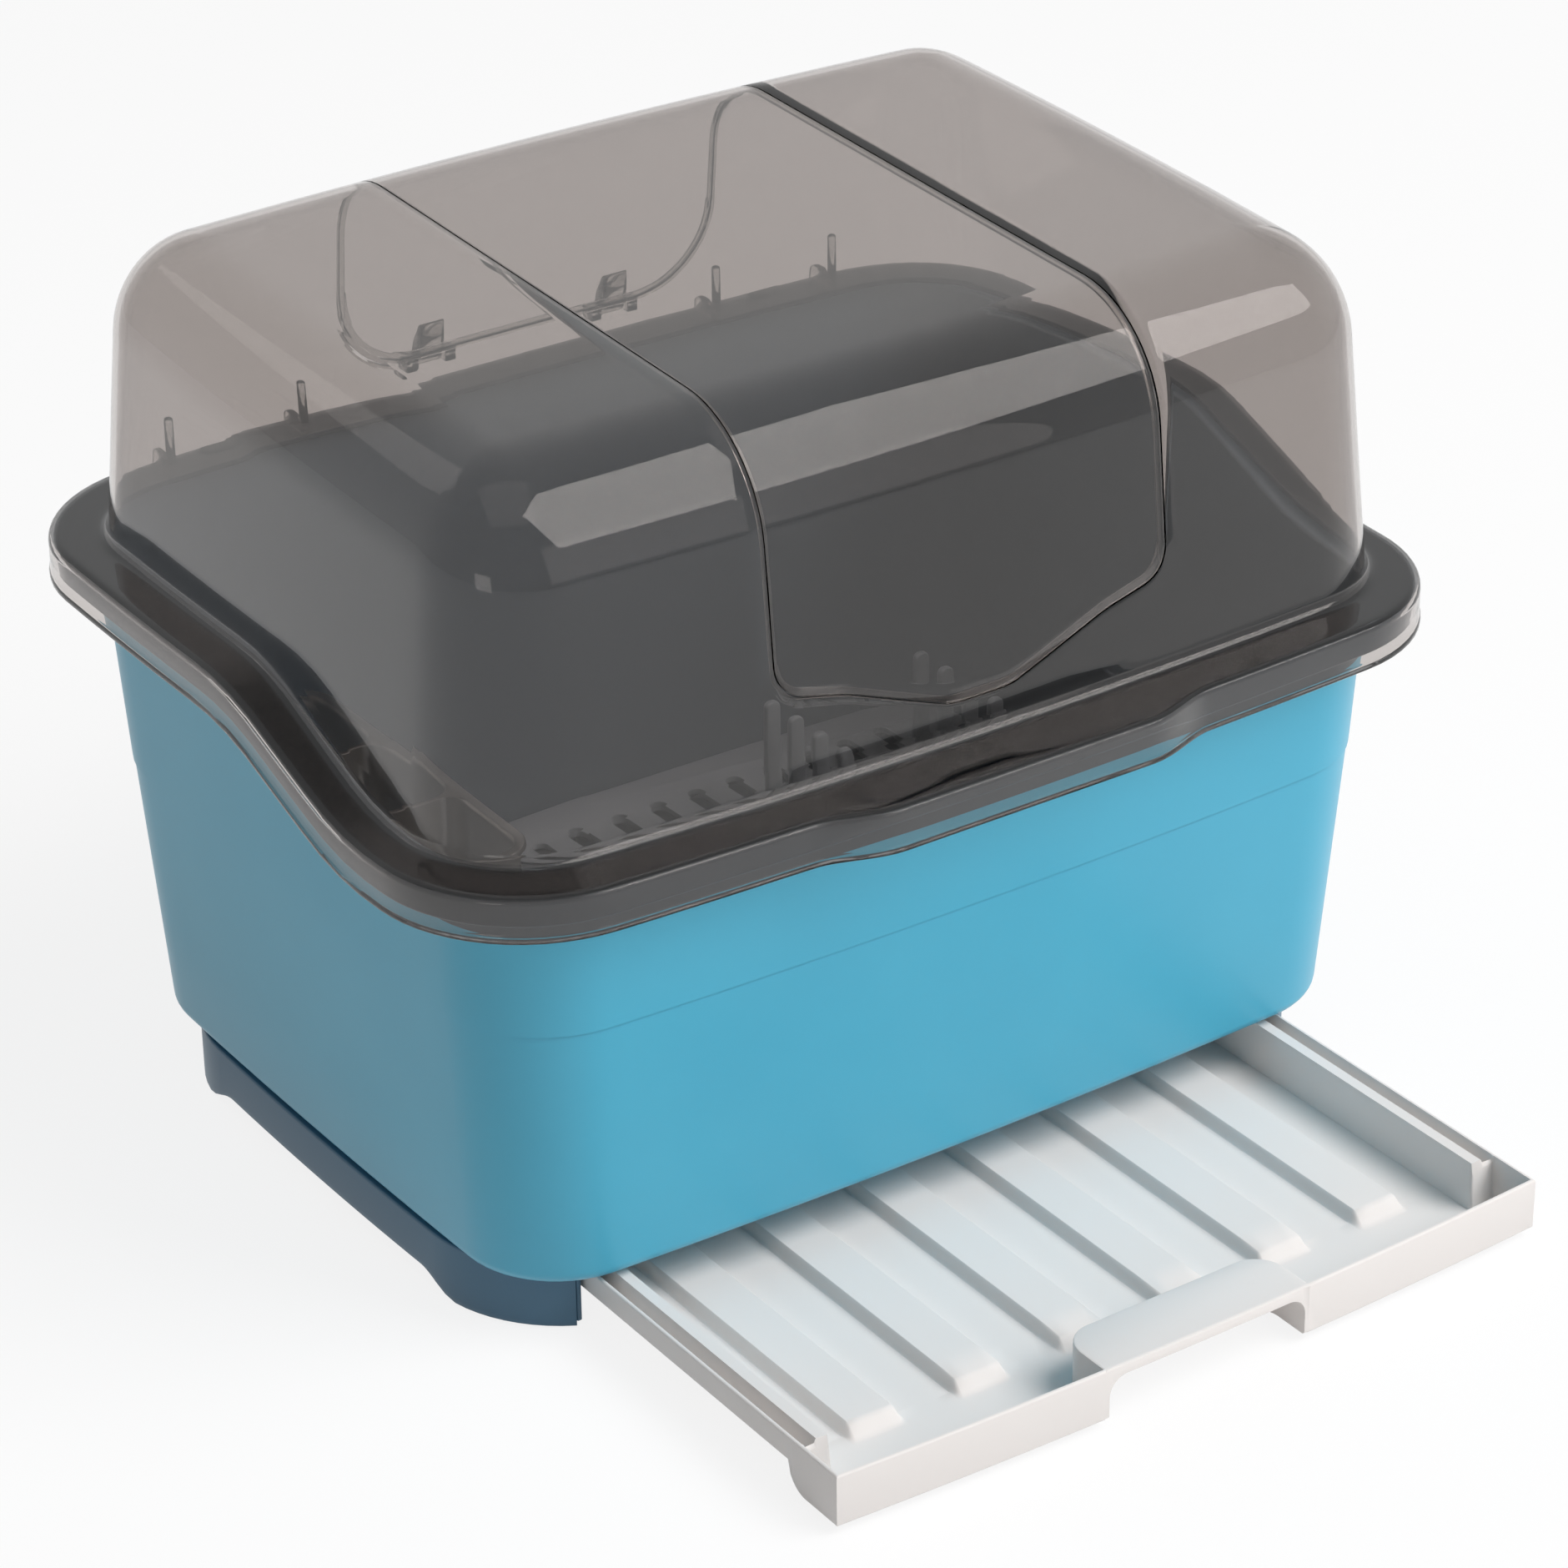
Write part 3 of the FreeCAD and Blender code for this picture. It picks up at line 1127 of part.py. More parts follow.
for sign in ("-", "+"):
    middle = f"comb_x {sign} comb_half"
    draw_polygon(
        fin_face,
        [
            (f"{middle} - comb_bar / 2", "grid_top + comb_bar / 2", None),
            (f"{middle} + comb_bar / 2", "grid_top + comb_bar / 2", None),
            (f"{middle} + comb_bar / 2", f"{comb_top} + fin_high", "fin_round"),
            (f"{middle} - comb_bar / 2", f"{comb_top} + fin_high", "fin_round"),
        ],
    )
fin = pad(fins, fin_face, "fin_thick")
repeat(fins, fin, fin_face, "N_Axis", "fin_count", "fin_step", reversed_way=True)
name_part(fuse("comb_piece", *comb_pieces, fins), "plate_rack")

# Cutlery holder: tall box of three open compartments with a rim bead and drain holes
holder_right = "holder_left + holder_wide"
holder_rear = "holder_front + holder_long"
holder_top = "grid_top + holder_high"


def holder_block(name, front, rear, inset, low, high):
    """Upright block of the holder between two Y formulas, with rounded corners, moved in by the inset."""
    left, right = f"holder_left + ({inset})", f"{holder_right} - ({inset})"
    corner = f"holder_round - ({inset})"
    ring = [(left, front, corner), (right, front, corner), (right, rear, corner), (left, rear, corner)]
    return polygon_body(name, "XY_Plane", low, ring, f"({high}) - ({low})")


holder_body = holder_block("holder_body", "holder_front", holder_rear, "0", "grid_top", holder_top)
holder_bead = holder_block(
    "holder_bead", "holder_front - holder_rim", f"{holder_rear} + holder_rim", "-holder_rim",
    f"{holder_top} - holder_rim", holder_top,
)
holder_cuts = []
room_long = "(holder_long - (holder_rooms + 1) * holder_wall) / holder_rooms"
for index in range(int(size("holder_rooms"))):
    room_front = f"holder_front + holder_wall + {index} * ({room_long} + holder_wall)"
    holder_cuts.append(
        holder_block(
            f"holder_room_{index}", room_front, f"{room_front} + {room_long}", "holder_wall",
            "grid_top + holder_wall", f"{holder_top} + holder_wall",
        )
    )
    for row in (-1, 0, 1):
        for column in (-1, 0, 1):
            holder_cuts.append(
                rod(
                    f"holder_hole_{index}_{row + 1}_{column + 1}",
                    f"holder_left + holder_wide / 2 + ({column}) * holder_hole_step",
                    f"{room_front} + {room_long} / 2 + ({row}) * holder_hole_step",
                    "grid_top - holder_wall", "holder_hole", "3 * holder_wall",
                )
            )
holder_openings = doc.addObject("Part::Compound", "holder_openings")
holder_openings.Links = holder_cuts
holder_whole = fuse("holder_whole", holder_body, holder_bead)
name_part(cut("holder_piece", holder_whole, holder_openings), "cutlery_holder")

# Lid: flange and lip that follow the rim, dome above, opening with an inner ledge, hinge lugs, pegs
lid_low = "rim_height + lid_rest"
lid_high = "rim_height + lid_rest + lid_wall"
hinge_z = "door_rear - pin_drop"
wall_y = f"(dome_half_y - dome_draft_y * ({hinge_z} - dome_base))"
hinge_y = f"{wall_y} + pin_out"


def lip_block_at(name, inset):
    """Upright prism of the lip's outline with its grip bulge, moved in by the inset."""
    plain = bowed_body(
        name + "_plain", "rim_height - 2 * lid_lip", "rim_height + 2 * rim_rise",
        f"lid_half_x - ({inset})", f"lid_half_y - ({inset})", f"lid_corner - ({inset})",
    )
    foot = f"grip_foot - ({inset})"
    crest = f"grip_half - ({inset}) / 2"
    grip = polygon_body(
        name + "_grip",
        "XY_Plane",
        "rim_height - 2 * lid_lip",
        [
            (f"-({foot})", "-lid_half_y + 4 * bow_front", None),
            (f"-({foot})", f"-lid_half_y + bow_front + ({inset})", None),
            (f"-({crest})", f"-lid_half_y - grip_reach + ({inset})", "grip_round"),
            (crest, f"-lid_half_y - grip_reach + ({inset})", "grip_round"),
            (foot, f"-lid_half_y + bow_front + ({inset})", None),
            (foot, "-lid_half_y + 4 * bow_front", None),
        ],
        "2 * rim_rise + 2 * lid_lip",
    )
    return fuse(name, plain, grip)


lip_outer = lip_block_at("lip_outer", "0")
lip_inner = lip_block_at("lip_inner", "lid_wall")
lid_plate = rim_band("lid_plate", lip_outer, lid_low, lid_high)
lip_ring = cut("lip_ring", lip_outer, lip_inner)
lid_lip_ring = rim_band("lid_lip_ring", lip_ring, f"{lid_high} - lid_lip", lid_high)
dome_outer = dome_form("dome_outer", "0")
dome_inner = dome_form("dome_inner", "lid_wall")
dome_above = cut("dome_above", dome_outer, below_rim("dome_foot", lid_low))
lid_closed = cut("lid_closed", fuse("lid_block", lid_plate, lid_lip_ring, dome_above), dome_inner)
lid_open = cut("lid_open", lid_closed, door_form("door_opening", "door_gap"))
ledge_shell = cut("ledge_shell", dome_inner, dome_form("dome_ledge", "lid_wall + ledge_wall"))
ledge_frame = cut(
    "ledge_frame", door_form("ledge_outline", "ledge_out"), door_form("ledge_window", "-ledge_in")
)
lid_pieces = [lid_open, common("ledge", ledge_shell, ledge_frame)]
lid_bores = []
door_knuckles = []
door_bores = []
lug_reach = "knuckle_wide / 2 + lug_gap + lug_wide"
for side, along_x in SIDES:
    middle = f"{along_x}pin_x"
    for place, offset in (("a", f"-({lug_reach})"), ("b", "knuckle_wide / 2 + lug_gap")):
        lug_x = f"{middle} + {offset}"
        lid_pieces.append(
            rod(f"lug_{side}_{place}", lug_x, hinge_y, hinge_z, "knuckle_radius", "lug_wide", X_AXIS)
        )
        lid_pieces.append(
            box(
                f"lug_web_{side}_{place}", lug_x, f"{lug_x} + lug_wide",
                f"{wall_y} - lug_bite", hinge_y,
                f"{hinge_z} - knuckle_radius", f"{hinge_z} + knuckle_radius - door_gap",
            )
        )
    pin_start = f"{middle} - ({lug_reach})"
    pin_long = f"2 * ({lug_reach})"
    lid_bores.append(
        rod(f"lug_bore_{side}", pin_start, hinge_y, hinge_z, "pin_radius", pin_long, X_AXIS)
    )
    knuckle_x = f"{middle} - knuckle_wide / 2"
    door_knuckles.append(
        rod(f"knuckle_{side}", knuckle_x, hinge_y, hinge_z, "knuckle_radius", "knuckle_wide", X_AXIS)
    )
    door_knuckles.append(
        polygon_body(
            f"knuckle_arm_{side}",
            "YZ_Plane",
            knuckle_x,
            [
                (f"{wall_y} - arm_bite_low", "door_rear + door_gap", None),
                (f"{hinge_y} - arm_half", f"{hinge_z} + arm_rise", None),
                (f"{hinge_y} + arm_half", f"{hinge_z} + arm_rise", None),
                (f"{wall_y} - arm_bite_high", "door_rear + arm_high", None),
            ],
            "knuckle_wide",
        )
    )
    door_bores.append(
        rod(
            f"knuckle_bore_{side}", pin_start, hinge_y, hinge_z,
            "pin_radius + pin_play", pin_long, X_AXIS,
        )
    )
    name_part(
        rod(f"pin_{side}", pin_start, hinge_y, hinge_z, "pin_radius", pin_long, X_AXIS),
        f"hinge_pin_{side}",
        hinge_y,
    )
rear_top = f"{lid_high} + rim_rise"
rib_end = "lid_half_y - bow_front - lid_wall / 2"
for side, along_x in SIDES:
    for place in ("inner", "outer"):
        peg_x = f"{along_x}peg_{place}_x"
        lid_pieces.append(
            rod(f"peg_{side}_{place}", peg_x, "peg_y", f"{rear_top} - lid_wall / 2", "peg_radius",
                "peg_high + lid_wall / 2")
        )
        lid_pieces.append(
            polygon_body(
                f"peg_rib_{side}_{place}",
                "YZ_Plane",
                f"{peg_x} - peg_rib / 2",
                [
                    ("peg_y", f"{rear_top} - lid_wall / 2", None),
                    (rib_end, f"{rear_top} - lid_wall / 2", None),
                    (rib_end, f"{rear_top} + peg_lobe", "peg_lobe_round"),
                    (f"{rib_end} - peg_lobe_long", f"{rear_top} + peg_lobe", "peg_lobe_round"),
                    ("peg_y", f"{rear_top} + lid_wall", None),
                ],
                "peg_rib",
            )
        )
    strip = ["strip_in_x", "strip_out_x"]
    if side == "left":
        strip = [f"-({edge})" for edge in reversed(strip)]
    lid_pieces.append(
        box(f"flange_strip_{side}", *strip, "strip_front_y", "strip_rear_y",
            f"{rear_top} - lid_wall / 2", f"{rear_top} + lid_wall / 2")
    )
lid_whole = fuse("lid_whole", *lid_pieces)
lid_openings = doc.addObject("Part::Compound", "lid_openings")
lid_openings.Links = lid_bores
name_part(cut("lid_piece", lid_whole, lid_openings), "lid_dome")

# Flip door: middle panel of the dome with two knuckles at its rear edge
door_shell = cut("door_shell", dome_outer, dome_form("dome_door", "door_wall"))
door_panel = common("door_panel", door_shell, door_form("door_outline", "0"))
door_openings = doc.addObject("Part::Compound", "door_openings")
door_openings.Links = door_bores
name_part(cut("door_piece", fuse("door_whole", door_panel, *door_knuckles), door_openings), "flip_door")

doc.recompute()
failed = [thing.Label for thing in doc.Objects if {"Invalid", "Error"} & set(thing.State)]
if failed:
    raise RuntimeError("objects failed: " + ", ".join(failed))
for part in PARTS:
    if part.Shape.isNull() or not part.Shape.isValid():
        raise RuntimeError(part.Label + " has no valid shape")
os.makedirs("parts", exist_ok=True)
for part in PARTS:
    part.Shape.exportStep(os.path.join("parts", part.Label + ".step"))
    solids = part.Shape.Solids
    volume = sum(solid.Volume for solid in solids)
    print(f"{part.Label}: {len(solids)} solid(s), {volume / 1000:.1f} cm3")
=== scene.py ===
"""Looks of a covered dish drying rack: blue tub on a dark plinth, white drip tray, smoke-clear lid.

Sizes are in millimetres, measured from the middle of the tub (x = 0, y = 0) and from the ground. Every
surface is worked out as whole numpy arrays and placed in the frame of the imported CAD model.
"""

import logging
import math
from dataclasses import dataclass, field
from enum import Enum

import bpy
import numpy as np
from mathutils import Matrix, Vector


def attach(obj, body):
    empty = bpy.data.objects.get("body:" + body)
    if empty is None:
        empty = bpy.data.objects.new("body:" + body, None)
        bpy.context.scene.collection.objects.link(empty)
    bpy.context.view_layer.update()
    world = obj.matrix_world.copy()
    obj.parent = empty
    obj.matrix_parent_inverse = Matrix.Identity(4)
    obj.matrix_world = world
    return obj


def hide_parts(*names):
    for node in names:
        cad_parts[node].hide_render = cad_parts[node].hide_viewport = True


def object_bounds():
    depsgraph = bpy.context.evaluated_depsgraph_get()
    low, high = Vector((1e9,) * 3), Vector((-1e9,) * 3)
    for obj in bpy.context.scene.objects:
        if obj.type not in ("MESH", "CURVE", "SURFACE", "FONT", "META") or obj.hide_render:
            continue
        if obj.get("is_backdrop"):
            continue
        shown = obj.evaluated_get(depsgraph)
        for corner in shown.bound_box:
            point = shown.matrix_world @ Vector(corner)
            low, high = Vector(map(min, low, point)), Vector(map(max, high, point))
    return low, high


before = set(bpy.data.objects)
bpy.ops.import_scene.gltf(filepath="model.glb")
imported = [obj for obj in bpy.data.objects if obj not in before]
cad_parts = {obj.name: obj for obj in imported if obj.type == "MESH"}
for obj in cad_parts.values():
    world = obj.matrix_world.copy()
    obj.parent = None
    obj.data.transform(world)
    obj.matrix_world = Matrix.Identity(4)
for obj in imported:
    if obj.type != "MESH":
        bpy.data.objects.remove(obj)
CAD_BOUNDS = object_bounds()

Grid = np.ndarray
Ring = tuple[Grid, Grid]
Spot = tuple[float, float, float]
Piece = bpy.types.Object
Finish = bpy.types.Material
Tree = bpy.types.NodeTree
Socket = bpy.types.NodeSocket

LOG = logging.getLogger("dish_rack")
MM = 0.001
LID_HALF_X = 240.2
LID_HALF_Y = 187.0
TRAY_FRONT = 302.0
TRAY_BOW = 5.0
# The frame's origin is in the middle of the footprint with the tray out
FRAME_SHIFT_Y = (TRAY_FRONT + TRAY_BOW - LID_HALF_Y) / 2
# Bulge of the sides and of front and rear: at the rim and the lid, and at the tub's foot
BOW_X = 2.1
BOW_Y = 5.0
LOW_BOW_X = 1.5
LOW_BOW_Y = 3.5
QUARTER = math.pi / 2
# Columns up to this distance from the middle plane stand at fixed places
FIXED_MAX = 130.0
BOSS_X = 187.0
BOSS_Y = 103.0
HINGE_X = 45.0
# The rim's side view: rise of its rear part, ends of the straight slope, radius of the bends
RIM_RISE = 30.2
SLOPE_START = -89.7
SLOPE_END = -10.6
SLOPE_BEND = 115.0


def linear(code: str) -> tuple[float, float, float, float]:
    """Turn an sRGB hex colour into linear RGBA.

    Args:
        code: six hex digits, such as "5db1cd".

    Returns:
        Four numbers, the last of them 1.
    """
    parts = [int(code[i:i + 2], 16) / 255 for i in (0, 2, 4)]
    values = [p / 12.92 if p <= 0.04045 else ((p + 0.055) / 1.055) ** 2.4 for p in parts]
    return (values[0], values[1], values[2], 1.0)


def ease(t: Grid) -> Grid:
    """Smooth step from 0 to 1: three times the square less two times the cube, flat at both ends."""
    t = np.clip(t, 0.0, 1.0)
    return t * t * (3 - 2 * t)


def rim_rise(y: Grid) -> Grid:
    """Height of the rim above its low front part.

    The side view is level, then a straight slope between two bends of one radius, then level again.

    Args:
        y: places from front to rear.

    Returns:
        The height at each place.
    """
    angle = math.atan2(RIM_RISE, SLOPE_END - SLOPE_START)
    reach = SLOPE_BEND * math.tan(angle / 2)
    run = SLOPE_BEND * math.sin(angle)

    def sag(place: Grid) -> Grid:
        """Fall of the bend's circle at a distance from where it begins."""
        return SLOPE_BEND - np.sqrt(np.maximum(SLOPE_BEND**2 - np.clip(place, 0, run) ** 2, 0))

    low, high = sag(y - SLOPE_START + reach), RIM_RISE - sag(SLOPE_END + reach - y)
    slope = (y - SLOPE_START) * math.tan(angle)
    bend = reach * math.cos(angle)
    return np.where(y < SLOPE_START + bend, low, np.where(y > SLOPE_END - bend, high, slope))


def between(start: Ring, end: Ring, steps: int) -> list[Ring]:
    """Outlines spread evenly from one outline to another, the last of them included."""
    shares = np.linspace(0, 1, steps + 1)[1:]
    return [(start[0] + (end[0] - start[0]) * t, start[1] + (end[1] - start[1]) * t) for t in shares]


class Zone(Enum):
    """Part of an outline's quarter that a column stands on."""

    LONG = 0
    REACH = 1
    CORNER = 2
    SHORT = 3


@dataclass(frozen=True)
class Columns:
    """Columns round an outline: a zone, a place in it, and the quarter it is in."""

    zone: Grid
    place: Grid
    sign_x: Grid
    sign_y: Grid

    @property
    def count(self) -> int:
        """Number of columns."""
        return len(self.zone)

    def pick(self, wanted: Grid) -> "Columns":
        """Columns at the given indices."""
        return Columns(self.zone[wanted], self.place[wanted], self.sign_x[wanted], self.sign_y[wanted])


def around(fixed: Grid, reach: int = 5, corner: int = 14, side: int = 9) -> Columns:
    """Lay out columns counter-clockwise round an outline, from the middle of the front.

    Args:
        fixed: distances from the middle plane at which front and rear columns stand, from 0 up.
        reach: columns between the last of those and the corner.
        corner: columns round a corner.
        side: columns on half a side.

    Returns:
        The columns of the whole loop, each once.
    """
    zones = [Zone.LONG] * len(fixed) + [Zone.REACH] * reach + [Zone.CORNER] * corner + [Zone.SHORT] * side
    places = np.concatenate((
        fixed,
        np.linspace(0, 1, reach + 1)[1:],
        np.linspace(1, 0, corner + 1)[1:],
        np.linspace(1, 0, side + 1)[1:],
    ))
    zone = np.array([z.value for z in zones])
    order = np.arange(len(zone))
    loops = [(order, 1, -1), (order[::-1][1:], 1, 1), (order[1:], -1, 1), (order[::-1][1:-1], -1, -1)]
    index = np.concatenate([o for o, _, _ in loops])
    sign_x = np.concatenate([np.full(len(o), sx) for o, sx, _ in loops])
    sign_y = np.concatenate([np.full(len(o), sy) for o, _, sy in loops])
    return Columns(zone[index], places[index], sign_x, sign_y)


PLAIN = around(np.linspace(0, FIXED_MAX, 14))


def outline(
    columns: Columns, half_x: Grid, half_y: Grid, corner: Grid, bow_x: Grid = BOW_X, bow_y: Grid = BOW_Y
) -> tuple[Grid, Grid, Grid, Grid]:
    """Points of rounded rectangles whose four sides are long arcs.

    A side's arc has the radius (half chord squared plus bow squared) over twice the bow, and the corner's
    centre lies where the circles moved in by the corner radius meet.

    Args:
        columns: where the points lie round the outline.
        half_x: half width at the crest of the sides.
        half_y: half depth at the crest of front and rear.
        corner: corner radius.
        bow_x: bulge of the two sides.
        bow_y: bulge of front and rear.

    Returns:
        x, y and the outward normal's x and y.
    """
    half_x, half_y, corner = (np.asarray(v, float) for v in (half_x, half_y, corner))
    long_r = ((half_x - corner) ** 2 + bow_y**2) / (2 * bow_y)
    short_r = ((half_y - corner) ** 2 + bow_x**2) / (2 * bow_x)
    long_y = half_y - long_r
    short_x = half_x - short_r
    apart = np.hypot(short_x, long_y)
    along = ((long_r - corner) ** 2 - (short_r - corner) ** 2 + apart**2) / (2 * apart)
    off = np.sqrt((long_r - corner) ** 2 - along**2)
    unit_x, unit_y = short_x / apart, -long_y / apart
    centre_x = unit_x * along + unit_y * off
    centre_y = long_y + unit_y * along - unit_x * off
    low = np.arctan2(centre_y, centre_x - short_x)
    high = np.arctan2(centre_y - long_y, centre_x)
    end_x = centre_x + corner * np.cos(high)
    end_y = centre_y + corner * np.sin(low)
    zone, place = columns.zone, columns.place
    long_x = np.where(zone == Zone.LONG.value, place, FIXED_MAX + (end_x - FIXED_MAX) * place)
    angle = low + (high - low) * place
    side_y = end_y * place
    on_long = zone <= Zone.REACH.value
    on_corner = zone == Zone.CORNER.value
    root_long = np.sqrt(np.maximum(long_r**2 - long_x**2, 0))
    root_short = np.sqrt(np.maximum(short_r**2 - side_y**2, 0))
    across, ahead = np.cos(angle), np.sin(angle)
    arc_x, arc_y = centre_x + corner * across, centre_y + corner * ahead
    x = np.where(on_long, long_x, np.where(on_corner, arc_x, short_x + root_short))
    y = np.where(on_long, long_y + root_long, np.where(on_corner, arc_y, side_y))
    nx = np.where(on_long, long_x / long_r, np.where(on_corner, across, root_short / short_r))
    ny = np.where(on_long, root_long / long_r, np.where(on_corner, ahead, side_y / short_r))
    return x * columns.sign_x, y * columns.sign_y, nx * columns.sign_x, ny * columns.sign_y


def quads(rows: int, cols: int, wrap: bool, offset: int = 0) -> Grid:
    """Faces of a grid of points, row by row; with wrap the last column joins the first."""
    r, c = np.meshgrid(np.arange(rows - 1), np.arange(cols if wrap else cols - 1), indexing="ij")
    a = r * cols + c
    b = r * cols + (c + 1) % cols
    return np.stack((a, b, b + cols, a + cols), -1).reshape(-1, 4) + offset


@dataclass
class Sheaf:
    """Points and faces that grow into one mesh."""

    points: list[Grid] = field(default_factory=list)
    faces: list[list[int]] = field(default_factory=list)
    count: int = 0

    def grid(self, grid: Grid, wrap: bool = False, flip: bool = False, caps: bool = False) -> None:
        """Add a grid of points.

        Args:
            grid: rows by columns by 3.
            wrap: join the last column to the first.
            flip: turn the faces round.
            caps: close the first and the last row with one face each.
        """
        rows, cols = grid.shape[:2]
        faces = quads(rows, cols, wrap, self.count)
        ends = []
        if caps:
            first = np.arange(cols) + self.count
            ends = [first[::-1], first + (rows - 1) * cols]
        if flip:
            faces = faces[:, ::-1]
            ends = [end[::-1] for end in ends]
        self.points.append(grid.reshape(-1, 3))
        self.faces += faces.tolist() + [end.tolist() for end in ends]
        self.count += rows * cols

    def solid(self, grid: Grid) -> None:
        """Add a closed form: rows that wrap round, capped at both ends."""
        self.grid(grid, wrap=True, caps=True)

    def revolve(
        self, profile: list[tuple[float, float]], at: Spot, along: str = "z", steps: int = 32
    ) -> None:
        """Add a surface of revolution.

        Args:
            profile: (radius, place along the axis) pairs, from the low end to the high end.
            at: a point on the axis where the place is 0.
            along: "x" or "z".
            steps: columns round the axis.
        """
        radius, place = np.array(profile, float).T[:, :, None]
        angle = np.linspace(0, 2 * math.pi, steps, endpoint=False)
        a, b = radius * np.cos(angle), radius * np.sin(angle)
        self.grid((stack(place, a, b) if along == "x" else stack(a, b, place)) + at, wrap=True)

    def build(self, name: str, weld: float = 0.01) -> Piece:
        """Make the object, welding points that coincide.

        Args:
            name: the object's name.
            weld: distance in millimetres under which points become one.

        Returns:
            The object, linked to the scene, smooth, in metres in the CAD frame.
        """
        points = (np.concatenate(self.points) + (0, FRAME_SHIFT_Y, 0)) * MM
        mesh = bpy.data.meshes.new(name)
        mesh.from_pydata(points, [], self.faces)
        thing = bpy.data.objects.new(name, mesh)
        bpy.context.scene.collection.objects.link(thing)
        join = thing.modifiers.new("weld", "WELD")
        join.merge_threshold = weld * MM
        return settle(thing)


def solid_piece(name: str, grid: Grid) -> Piece:
    """Piece made of one closed form: rows that wrap round, capped at both ends."""
    body = Sheaf()
    body.solid(grid)
    return body.build(name)


def settle(thing: Piece, sharp: float = 38.0) -> Piece:
    """Apply an object's modifiers and shade it smooth up to an angle.

    Args:
        thing: the object.
        sharp: angle in degrees between faces from which an edge is sharp.

    Returns:
        The same object with a plain mesh.
    """
    bpy.context.view_layer.update()
    old = thing.data
    mesh = bpy.data.meshes.new_from_object(thing.evaluated_get(bpy.context.evaluated_depsgraph_get()))
    thing.modifiers.clear()
    thing.data = mesh
    bpy.data.meshes.remove(old)
    mesh.name = thing.name
    mesh.validate()
    mesh.polygons.foreach_set("use_smooth", np.ones(len(mesh.polygons), bool))
    mesh.set_sharp_from_angle(angle=math.radians(sharp))
    return thing


def carve(thing: Piece, tool: Piece, how: str = "DIFFERENCE") -> Piece:
    """Cut one closed piece from another, or join them, and remove the tool.

    Args:
        thing: the piece that stays.
        tool: the piece that cuts or is added.
        how: DIFFERENCE or UNION.

    Returns:
        The piece with its new mesh.
    """
    step = thing.modifiers.new("carve", "BOOLEAN")
    step.operation = how
    step.solver = "EXACT"
    step.use_self = False
    step.object = tool
    settle(thing)
    bpy.data.objects.remove(tool)
    return thing


def thicken(thing: Piece, wall: float, edge: float = 0.5) -> Piece:
    """Give a skin its wall, inwards, and round the wall's edges.

    Args:
        thing: the skin, whose faces point outwards.
        wall: thickness.
        edge: rounding of the open edges.

    Returns:
        The same object as a closed shell.
    """
    solid = thing.modifiers.new("wall", "SOLIDIFY")
    solid.thickness = wall * MM
    solid.offset = -1
    solid.use_even_offset = True
    solid.use_quality_normals = True
    settle(thing)
    return soften(thing, edge)


def soften(thing: Piece, edge: float, angle: float = 50.0, steps: int = 2) -> Piece:
    """Round a piece's sharp edges.

    Args:
        thing: the piece.
        edge: width of the rounding.
        angle: edges sharper than this many degrees are rounded.
        steps: faces across the rounding.

    Returns:
        The same object.
    """
    bevel = thing.modifiers.new("edges", "BEVEL")
    bevel.width = edge * MM
    bevel.segments = steps
    bevel.limit_method = "ANGLE"
    bevel.angle_limit = math.radians(angle)
    bevel.use_clamp_overlap = True
    return settle(thing, 45)


def stack(x: Grid, y: Grid, z: Grid) -> Grid:
    """Join three arrays of coordinates into points."""
    return np.stack(np.broadcast_arrays(x, y, z), -1)


def barrel(radius: float, low: float, high: float, edge: float) -> list[tuple[float, float]]:
    """Profile of a cylinder between two places with rounded ends."""
    angles = np.linspace(0, QUARTER, 4)
    start = [(radius - edge + edge * math.sin(t), low + edge - edge * math.cos(t)) for t in angles]
    end = [(radius - edge + edge * math.cos(t), high - edge + edge * math.sin(t)) for t in angles]
    return [(0.0, low)] + start + end + [(0.0, high)]


def round_block(
    x0: float, x1: float, y0: float, y1: float, z0: float, z1: float, edge: float = 0.8
) -> Grid:
    """Block with rounded edges: a sphere's grid whose eight parts are moved to the block's corners."""
    turn = np.concatenate([np.linspace(k, k + 1, 5) * QUARTER for k in range(4)])
    tilt = np.concatenate([np.linspace(-1, 0, 5), np.linspace(0, 1, 5)]) * QUARTER
    side_x = np.repeat([1, -1, -1, 1], 5)
    side_y = np.repeat([1, 1, -1, -1], 5)
    side_z = np.repeat([-1, 1], 5)[:, None]
    ring = np.cos(tilt)[:, None]
    half = np.array((x1 - x0, y1 - y0, z1 - z0)) / 2
    mid = np.array((x1 + x0, y1 + y0, z1 + z0)) / 2
    edge = min(edge, *half * 0.98)
    x = mid[0] + side_x * (half[0] - edge) + edge * ring * np.cos(turn)
    y = mid[1] + side_y * (half[1] - edge) + edge * ring * np.sin(turn)
    z = mid[2] + side_z * (half[2] - edge) + edge * np.sin(tilt)[:, None]
    return stack(x, y, z)


